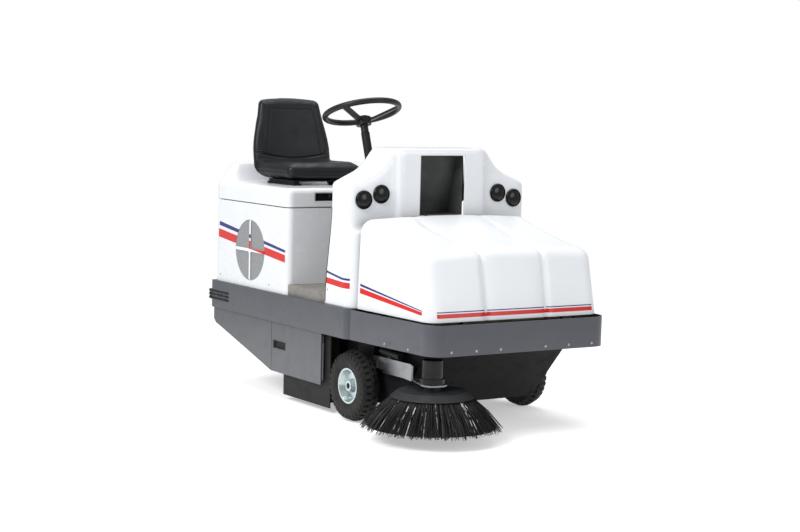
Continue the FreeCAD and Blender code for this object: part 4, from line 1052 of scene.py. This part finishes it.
@dataclass
class MainBrush:
    """The roller: a core with rows of tufts in a shallow chevron."""

    rows: int = 10
    tufts: int = 44
    core: float = 0.060
    bore: float = 0.014
    root: float = 0.005
    tip: float = 0.010
    tuck: float = 0.004
    chevron: float = 0.5
    seed: int = 9

    def build(self) -> bpy.types.Object:
        """Models the core and its tufts."""
        low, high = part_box("main_brush")
        centre = (low + high) / 2
        radius, half = (high.z - low.z) / 2, (high.x - low.x) / 2
        rng = random.Random(self.seed)
        form = Form()
        tone = form.bm.verts.layers.float.new("tone")
        core = [(self.bore, -half), (self.core, -half), (self.core, half), (self.bore, half)]
        form.lathe(core, centre, Vector((1, 0, 0)), 48)
        pitch = 2 * half / self.tufts
        for row in range(self.rows):
            for i in range(self.tufts):
                x = -half + (i + 0.5) * pitch
                angle = 2 * math.pi * row / self.rows + abs(x) / half * self.chevron
                angle += rng.uniform(-0.03, 0.03)
                verts = bmesh.ops.create_cone(form.bm, cap_ends=True, cap_tris=True, segments=6,
                                              radius1=self.root, radius2=self.tip,
                                              depth=radius - self.core + self.tuck)["verts"]
                shade = rng.random() * 0.9
                lift = (radius + self.core - self.tuck) / 2
                place = Matrix.Translation(centre + Vector((x, 0, 0))) @ Matrix.Rotation(angle, 4, "X")
                for vert in verts:
                    vert.co = place @ (vert.co + Vector((0, 0, lift - 0.0003)))
                    vert[tone] = shade
        bmesh.ops.recalc_face_normals(form.bm, faces=form.bm.faces)
        return Piece("roller_bristles", "main_brush", Finishes.BRISTLE, "bristle", ("main_brush",)).make(form)


# ---------------------------------------------------------------- seat
@dataclass
class Seat:
    """The vinyl bucket seat: a dished cushion and a backrest, both padded."""

    voxel: float = 0.0055
    pressure: float = 4.0
    frames: int = 20
    cap: float = 0.006
    calming: int = 9
    slack: float = 0.002
    spill: float = 0.004
    recline: float = 12.0
    top_half: float = 0.162
    dish: float = 0.014
    front_drop: float = 0.010
    back_rise: float = 0.022
    back_foot: float = 0.050
    seam_depth: float = 0.0032
    seam_width: float = 0.0034

    def build(self) -> None:
        """Models both pads."""
        self.cushion()
        self.backrest()

    def padded_block(self, low: Vector, high: Vector, radius: float, move: Shape) -> Form:
        """A sliced, rounded block shaped by move, slightly smaller than its box."""
        inset = Vector((self.slack,) * 3)
        low, high = low + inset, high - inset
        form = Form()
        form.block(low, high)
        for axis in range(3):
            form.slice(axis, steps(low[axis], high[axis], 0.012))
        form.round_off(low, high, radius)
        form.shape(move)
        form.outward()
        return form

    def inflate(self, form: Form, name: str) -> Form:
        """Lets the cover swell like a stuffed pad, by no more than the cap.

        Args:
            form: the pad's plain shape.
            name: a name for the draft.

        Returns:
            The swollen cover, smoothed and divided once.
        """
        skin = remeshed(form, self.voxel)
        rest = [v.co.copy() for v in skin.bm.verts]
        obj = bpy.data.objects.new(name, skin.mesh(name))
        scene = bpy.context.scene
        scene.collection.objects.link(obj)
        cloth = obj.modifiers.new("cover", "CLOTH")
        cloth.settings.use_pressure = True
        cloth.settings.uniform_pressure_force = self.pressure
        cloth.settings.effector_weights.gravity = 0.0
        cloth.settings.quality = 5
        cloth.settings.tension_stiffness = cloth.settings.compression_stiffness = 25
        for number in range(1, self.frames + 1):
            scene.frame_set(number)
        mesh = applied(obj)
        for vert, start in zip(mesh.vertices, rest):
            step = vert.co - start
            if step.length > self.cap:
                vert.co = start + step.normalized() * self.cap
        scene.frame_set(1)
        soft = Form()
        soft.bm.from_mesh(mesh)
        bpy.data.meshes.remove(mesh)
        soft.smooth(self.calming)
        bmesh.ops.subdivide_edges(soft.bm, edges=soft.bm.edges, cuts=1, use_grid_fill=True, smooth=1.0)
        soft.smooth(2)
        return soft

    def cushion(self) -> None:
        """The cushion: dished, with raised sides, a rolled front and a rounded pan."""
        low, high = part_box("seat_cushion")
        middle, half = (low.x + high.x) / 2, (high.x - low.x) / 2
        length = high.y - low.y

        def dished(p: Vector) -> Vector:
            """The point on the dished pad."""
            across, back = (p.x - middle) / half, (p.y - low.y) / length
            up = (p.z - low.z) / (high.z - low.z)
            p.x = middle + (p.x - middle) * (0.955 + 0.045 * smoothstep(back, 0.0, 0.6))
            p.y += 0.016 * across * across * (1 - back)
            dish = self.dish * (1 - across * across) * smoothstep(back, 0.10, 0.35)
            p.z -= up * (dish + self.front_drop * (1 - smoothstep(back, 0.0, 0.30)))
            p.z += up * self.back_rise * smoothstep(back, 0.70, 1.0)
            p.z += (1 - up) * (0.012 * across ** 4 + 0.020 * smoothstep(back, 0.75, 1.0))
            return p

        form = self.padded_block(low, high, 0.028, dished)
        soft = self.inflate(form, "cushion")
        bead = (low.z + high.z) / 2 - 0.014
        for vert in soft.bm.verts:
            level = vert.co.z - bead - 0.010 * ((vert.co.x - middle) / half) ** 2
            vert.co -= vert.normal * self.seam_depth * 0.7 * bell(level, 0.0, self.seam_width)
            side = abs(vert.co.x - middle) / half
            wrinkle = bell(vert.co.y, high.y - 0.045, 0.020) * smoothstep(side, 0.70, 0.92)
            vert.co += vert.normal * 0.0016 * wrinkle * math.sin((vert.co.y * 1.4 + vert.co.z) * 520)
        self.fit(soft, low, high)
        piece = Piece("seat_cushion_cover", "seat", Finishes.VINYL, "black_vinyl", ("seat_cushion",),
                      0.0, 180)
        piece.make(soft)

    def backrest(self) -> None:
        """The backrest: narrower at the top, with bolsters, a panel seam and a creased base."""
        low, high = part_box("seat_backrest")
        middle, half = (low.x + high.x) / 2, (high.x - low.x) / 2
        lean = math.tan(math.radians(self.recline)) * 0.82
        thick = (high.y - low.y) - (high.z - low.z) * lean
        low = low - Vector((0, self.back_foot * lean, self.back_foot))
        height = high.z - low.z

        def bolstered(p: Vector) -> Vector:
            """The point on the bolstered pad."""
            up = (p.z - low.z) / height
            across = (p.x - middle) / half
            ahead = 1 - (p.y - low.y) / thick
            p.x = middle + (p.x - middle) * (1 - (1 - self.top_half / half) * smoothstep(up, 0.25, 1.05))
            p.y += ahead * 0.018 * (1 - across * across) * smoothstep(up, -0.1, 0.3)
            p.y += 0.012 * (across ** 2) * (1 - ahead) * -1
            p.z -= 0.012 * across * across * smoothstep(up, 0.8, 1.0)
            p.y += (p.z - low.z) * lean
            return p

        block_high = Vector((high.x, low.y + thick, high.z))
        form = self.padded_block(low, block_high, 0.026, bolstered)
        soft = self.inflate(form, "backrest")
        soft.bm.normal_update()
        for vert in soft.bm.verts:
            up = (vert.co.z - low.z) / height
            facing = smoothstep(-vert.normal.y, 0.35, 0.75)
            width = half * (1 - (1 - self.top_half / half) * smoothstep(up, 0.25, 1.05))
            side = abs(vert.co.x - middle) / width
            top_line = bell(vert.co.z, high.z - 0.060, self.seam_width) * (1 - smoothstep(side, 0.58, 0.66))
            edge_line = bell(side * width, 0.66 * width, self.seam_width)
            edge_line *= 1 - smoothstep(vert.co.z, high.z - 0.07, high.z - 0.055)
            smile = low.z + self.back_foot + 0.016 + 0.030 * side * side
            base_line = bell(vert.co.z, smile, self.seam_width * 1.4)
            fold = bell(vert.co.z, smile + 0.012, 0.012) * smoothstep(side, 0.66, 0.85)
            press = max(top_line, edge_line * 0.45 * smoothstep(up, 0.2, 0.3), base_line * 1.5)
            vert.co -= vert.normal * self.seam_depth * press * facing
            vert.co += vert.normal * 0.0020 * fold * math.sin((vert.co.z + side * 0.02) * 620) * facing
        self.fit(soft, low, high)
        piece = Piece("seat_backrest_cover", "seat", Finishes.VINYL, "black_vinyl", ("seat_backrest",),
                      0.0, 180)
        piece.make(soft)

    def fit(self, form: Form, low: Vector, high: Vector) -> None:
        """Keeps the cover close to its box, and no lower."""
        floor, roof = low - Vector((self.spill, self.spill / 2, 0)), high + Vector((self.spill,) * 3)
        for vert in form.bm.verts:
            vert.co = Vector(min(max(c, a), b) for c, a, b in zip(vert.co, floor, roof))


# ---------------------------------------------------------------- small hardware
@dataclass
class Hardware:
    """Dome-headed bolts and screws on the outer skins."""

    bolt: float = 0.0062
    buffer_bolt: float = 0.0065
    screw: float = 0.0040
    lamp_screw: float = 0.0028
    bolt_rise: float = 0.017
    front_bolts: tuple[float, ...] = (-0.353, -0.232, -0.113, 0.113, 0.232, 0.353)
    side_bolts: tuple[float, ...] = (-0.278, -0.452)
    body_screws: tuple[float, float] = (0.16, 0.05)
    body_rise: float = 0.030
    fairing_inset: float = 0.022
    fairing_rise: float = 0.062
    lamp_rise: float = 0.047
    buffer_bolts: tuple[float, float] = (0.045, 0.125)
    buffer_sink: float = 0.004

    def dome(self, form: Form, seat: Vector, out: Vector, radius: float) -> None:
        """Adds a domed head with a flat rim that faces out."""
        place = Matrix.Translation(seat) @ out.to_track_quat("Z", "X").to_matrix().to_4x4()
        bmesh.ops.create_uvsphere(form.bm, u_segments=16, v_segments=8, radius=radius,
                                  matrix=place @ Matrix.Diagonal((0.8, 0.8, 0.55, 1)))
        bmesh.ops.create_cone(form.bm, cap_ends=True, segments=20, radius1=radius, radius2=radius * 0.94,
                              depth=radius * 0.3, matrix=place @ Matrix.Translation((0, 0, radius * 0.12)))

    def flanks(self, form: Form, box: Box, y: float, z: float, radius: float, sink: float = 0.0) -> None:
        """Adds a head on each side face of a box."""
        for side in Side:
            self.dome(form, Vector((side.face(box) - side.value * sink, y, z)), side.out, radius)

    def build(self) -> None:
        """Places every head on its panel."""
        ahead = Vector((0, -1, 0))
        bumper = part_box("front_bumper")
        edge = bumper[0].z + self.bolt_rise
        bolts = Form()
        for x in self.front_bolts:
            self.dome(bolts, Vector((CENTRE_X + x, bumper[0].y, edge)), ahead, self.bolt)
        for y in self.side_bolts:
            self.flanks(bolts, bumper, aft(y), edge, self.bolt)
        Piece("bumper_front_bolts", "hopper", Finishes.ZINC, "zinc").make(bolts)
        low, high = body_box
        screws = Form()
        for y in (low.y + self.body_screws[0], high.y - self.body_screws[1]):
            self.flanks(screws, body_box, y, low.z + self.body_rise, self.screw)
        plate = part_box("lamp_caps")[1].y + PROUD
        for x, z in LAMP_PLACES:
            for side in Side:
                for rise in (-self.lamp_rise, self.lamp_rise):
                    seat = Vector((CENTRE_X + side.value * x, plate, z + rise))
                    self.dome(screws, seat, ahead, self.lamp_screw)
        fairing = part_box("front_fairing")
        rear, foot = fairing[1].y - self.fairing_inset, fairing[0].z + self.fairing_rise
        self.flanks(screws, fairing, rear, foot, self.screw)
        Piece("panel_screws", "chassis", Finishes.ZINC, "zinc").make(screws)
        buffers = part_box("rear_bumpers")
        heads = Form()
        for y in self.buffer_bolts:
            self.flanks(heads, buffers, buffers[0].y + y, (buffers[0].z + buffers[1].z) / 2,
                        self.buffer_bolt, self.buffer_sink)
        Piece("rear_bumper_bolts", "chassis", Finishes.ZINC, "zinc").make(heads)


@dataclass
class Lamps:
    """Four domed lamp covers, each in a narrow ring."""

    radius: float = 0.040

    def build(self) -> None:
        """Models the covers."""
        low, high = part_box("lamp_caps")
        deep = high.y - low.y
        cover = [(0.0, 0.003), (0.012, 0.0025), (0.024, 0.0005), (0.033, -0.003)]
        ring = [(0.0345, -0.005), (0.0355, -0.003), (0.038, -0.002), (self.radius, -0.005)]
        profile = [(radius, deep + rise) for radius, rise in cover + ring] + [(self.radius, 0.0), (0.0, 0.0)]
        form = Form()
        for side in Side:
            for x, z in LAMP_PLACES:
                seat = Vector((CENTRE_X + side.value * x, high.y, z))
                form.lathe(profile, seat, Vector((0, -1, 0)), 48, False)
        form.outward()
        Piece("lamp_covers", "chassis", Finishes.LAMP, "lamp_black", ("lamp_caps",)).make(form)


@dataclass
class RearBumpers:
    """The two buffers at the rear corners: a ribbed rubber block each."""

    thick: float = 0.026
    rib: float = 0.0045
    ribs: int = 3
    edge: float = 0.006

    def build(self) -> None:
        """Models both buffers with ribs along each."""
        low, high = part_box("rear_bumpers")
        form = Form()
        for side in Side:
            face = side.face((low, high))
            near, far = side.span(face, 0.0, self.thick)
            buffer = Form()
            start, end = Vector((near, low.y, low.z)), Vector((far, high.y, high.z))
            buffer.block(start, end)
            buffer.slice(2, steps(low.z, high.z, 0.0022))
            buffer.slice(1, steps(low.y, high.y, 0.010))
            buffer.round_off(start, end, self.edge)
            for vert in buffer.bm.verts:
                if abs(vert.co.x - face) < 0.004:
                    turn = (vert.co.z - low.z) / (high.z - low.z) * 2 * math.pi * self.ribs
                    vert.co.x -= side.value * self.rib * (0.5 + 0.5 * math.cos(turn))
            form.add(buffer)
        form.outward()
        Piece("rear_buffers", "chassis", Finishes.RUBBER, "soft_rubber", ("rear_bumpers",)).make(form)


@dataclass
class DoorPulls:
    """Black cups in the pulls of the two lower doors."""

    start: float = 0.544
    end: float = 0.651
    foot: float = 0.226
    head: float = 0.260
    depth: float = 0.0105
    floor: float = 0.002
    lip: float = 0.003

    def build(self) -> None:
        """Models one cup for each door."""
        for side in Side:
            door = "door_" + side.name.lower()
            near, far = side.span(side.face(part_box(door)), PROUD, self.depth)
            form = Form()
            form.block(Vector((near, aft(self.start) - self.lip, self.foot - self.lip)),
                       Vector((far, aft(self.end) + self.lip, self.head + self.lip)))
            mouth = [f for f in form.bm.faces if f.normal.x * side.value > 0.9]
            form.hollow(mouth, self.lip + 0.001, side.out * (self.floor - self.depth))
            form.outward()
            name = "door_pull_" + side.name.lower()
            Piece(name, door, Finishes.DASH, "dash_plastic").make(form)


# ---------------------------------------------------------------- stage
@dataclass
class Studio:
    """The camera, the soft lamps and the pale floor."""

    eye: Triple = (CENTRE_X - 4.3825, aft(-6.3976), 1.3922)
    heading: float = 33.04
    pitch: float = 5.58
    roll: float = 1.42
    lens: float = 81.46
    floor_size: float = 40.0
    floor_glow: float = 0.42
    sky: float = 0.55
    fade_middle: float = 3.2
    fade_width: float = 2.4

    def camera(self) -> None:
        """Looks past the machine's front right corner."""
        data = bpy.data.cameras.new("view")
        data.lens, data.sensor_width = self.lens, 36.0
        camera = bpy.data.objects.new("view", data)
        bpy.context.scene.collection.objects.link(camera)
        azimuth, tilt, roll = (math.radians(v) for v in (self.heading, self.pitch, self.roll))
        level = Vector((math.sin(azimuth), math.cos(azimuth), 0))
        ahead = level * math.cos(tilt) - Vector((0, 0, math.sin(tilt)))
        right = Vector((math.cos(azimuth), -math.sin(azimuth), 0))
        up = right.cross(ahead)
        rolled = Matrix((right * math.cos(roll) + up * math.sin(roll),
                         up * math.cos(roll) - right * math.sin(roll), -ahead))
        turn = rolled.transposed().to_4x4()
        camera.matrix_world = Matrix.Translation(self.eye) @ turn
        bpy.context.scene.camera = camera

    def lamp(self, name: str, place: Triple, size: float, power: float,
             aim: Triple = (0.09, 0.0, 0.6)) -> None:
        """Adds one soft lamp aimed at the machine."""
        data = bpy.data.lights.new(name, "AREA")
        data.shape, data.size, data.energy = "DISK", size, power
        lamp = bpy.data.objects.new(name, data)
        lamp.location = place
        lamp.rotation_euler = (Vector(aim) - Vector(place)).to_track_quat("-Z", "Y").to_euler()
        bpy.context.scene.collection.objects.link(lamp)

    def seen_white(self, graph: Graph) -> Value:
        """1 for rays that should meet a white ground."""
        path = graph.node("ShaderNodeLightPath")
        seen, glossy, through = (Value(graph, path.outputs[f"Is {kind} Ray"])
                                 for kind in ("Camera", "Glossy", "Transmission"))
        return seen.math("MAXIMUM", glossy).math("MAXIMUM", through)

    def world(self) -> None:
        """A grey sky that shows white to the lens."""
        world = bpy.data.worlds.new("studio")
        bpy.context.scene.world = world
        graph = SkyGraph(world)
        path = graph.node("ShaderNodeLightPath")
        seen = Value(graph, path.outputs["Is Camera Ray"])
        sky = graph.node("ShaderNodeBackground", None, Color=(1.0, 1.0, 1.0),
                         Strength=seen * (1.0 - self.sky) + self.sky)
        graph.node("ShaderNodeOutputWorld", None, Surface=sky.outputs[0])

    def floor(self) -> None:
        """A pale floor that keeps the shadow and fades into the white beyond."""
        form = Form()
        bmesh.ops.create_grid(form.bm, x_segments=1, y_segments=1, size=self.floor_size / 2)
        mesh = form.mesh("floor")
        floor = bpy.data.objects.new("floor", mesh)
        bpy.context.scene.collection.objects.link(floor)
        graph = Graph("floor_white")
        x, y, _ = graph.axes()
        away = ((x * x + y * y).math("SQRT")).above(self.fade_middle, self.fade_width)
        colour = graph.mix(graph.noise(0.3), (0.86, 0.86, 0.86), (0.90, 0.90, 0.90))
        matt = graph.node("ShaderNodeBsdfDiffuse", None, Color=colour)
        glow = graph.node("ShaderNodeEmission", None, Strength=self.seen_white(graph) * self.floor_glow)
        both = graph.node("ShaderNodeAddShader", None, _0=matt.outputs[0], _1=glow.outputs[0])
        clear = graph.node("ShaderNodeBsdfTransparent")
        mixed = graph.node("ShaderNodeMixShader", None, _0=away, _1=both.outputs[0], _2=clear.outputs[0])
        graph.node("ShaderNodeOutputMaterial", None, Surface=mixed.outputs[0])
        mesh.materials.append(graph.material)

    def build(self) -> None:
        """Sets the stage."""
        bpy.context.scene.view_settings.view_transform = "Standard"
        self.camera()
        self.world()
        self.floor()
        self.lamp("key", (-5.0, -1.2, 4.2), 3.0, 270)
        self.lamp("fill", (2.5, -6.0, 2.2), 3.0, 70)
        self.lamp("top", (0.4, 0.8, 5.0), 4.0, 130)


def dress_nodes() -> None:
    """Gives every carried-over node its finish."""
    for finish, names in NODE_FINISHES.items():
        for name in names:
            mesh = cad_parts[name].data
            mesh.materials.clear()
            mesh.materials.append(finishes.get(finish))
            log.info("%s dressed in %s", name, finish.name)


TYRES = {"tyre_right": "wheel_right", "tyre_left": "wheel_left", "rear_tyre": "rear_wheel"}


def main() -> None:
    """Builds the looks in order."""
    Studio().build()
    dress_nodes()
    Hood().build()
    Fairing().build()
    Lid().build()
    for node, body in TYRES.items():
        Tyre(node, body, node + "_tread").build()
    SideBrush().build()
    MainBrush().build()
    Seat().build()
    Lamps().build()
    DoorPulls().build()
    RearBumpers().build()
    Hardware().build()


if __name__ == "__main__":
    logging.basicConfig(level=logging.INFO)
    main()
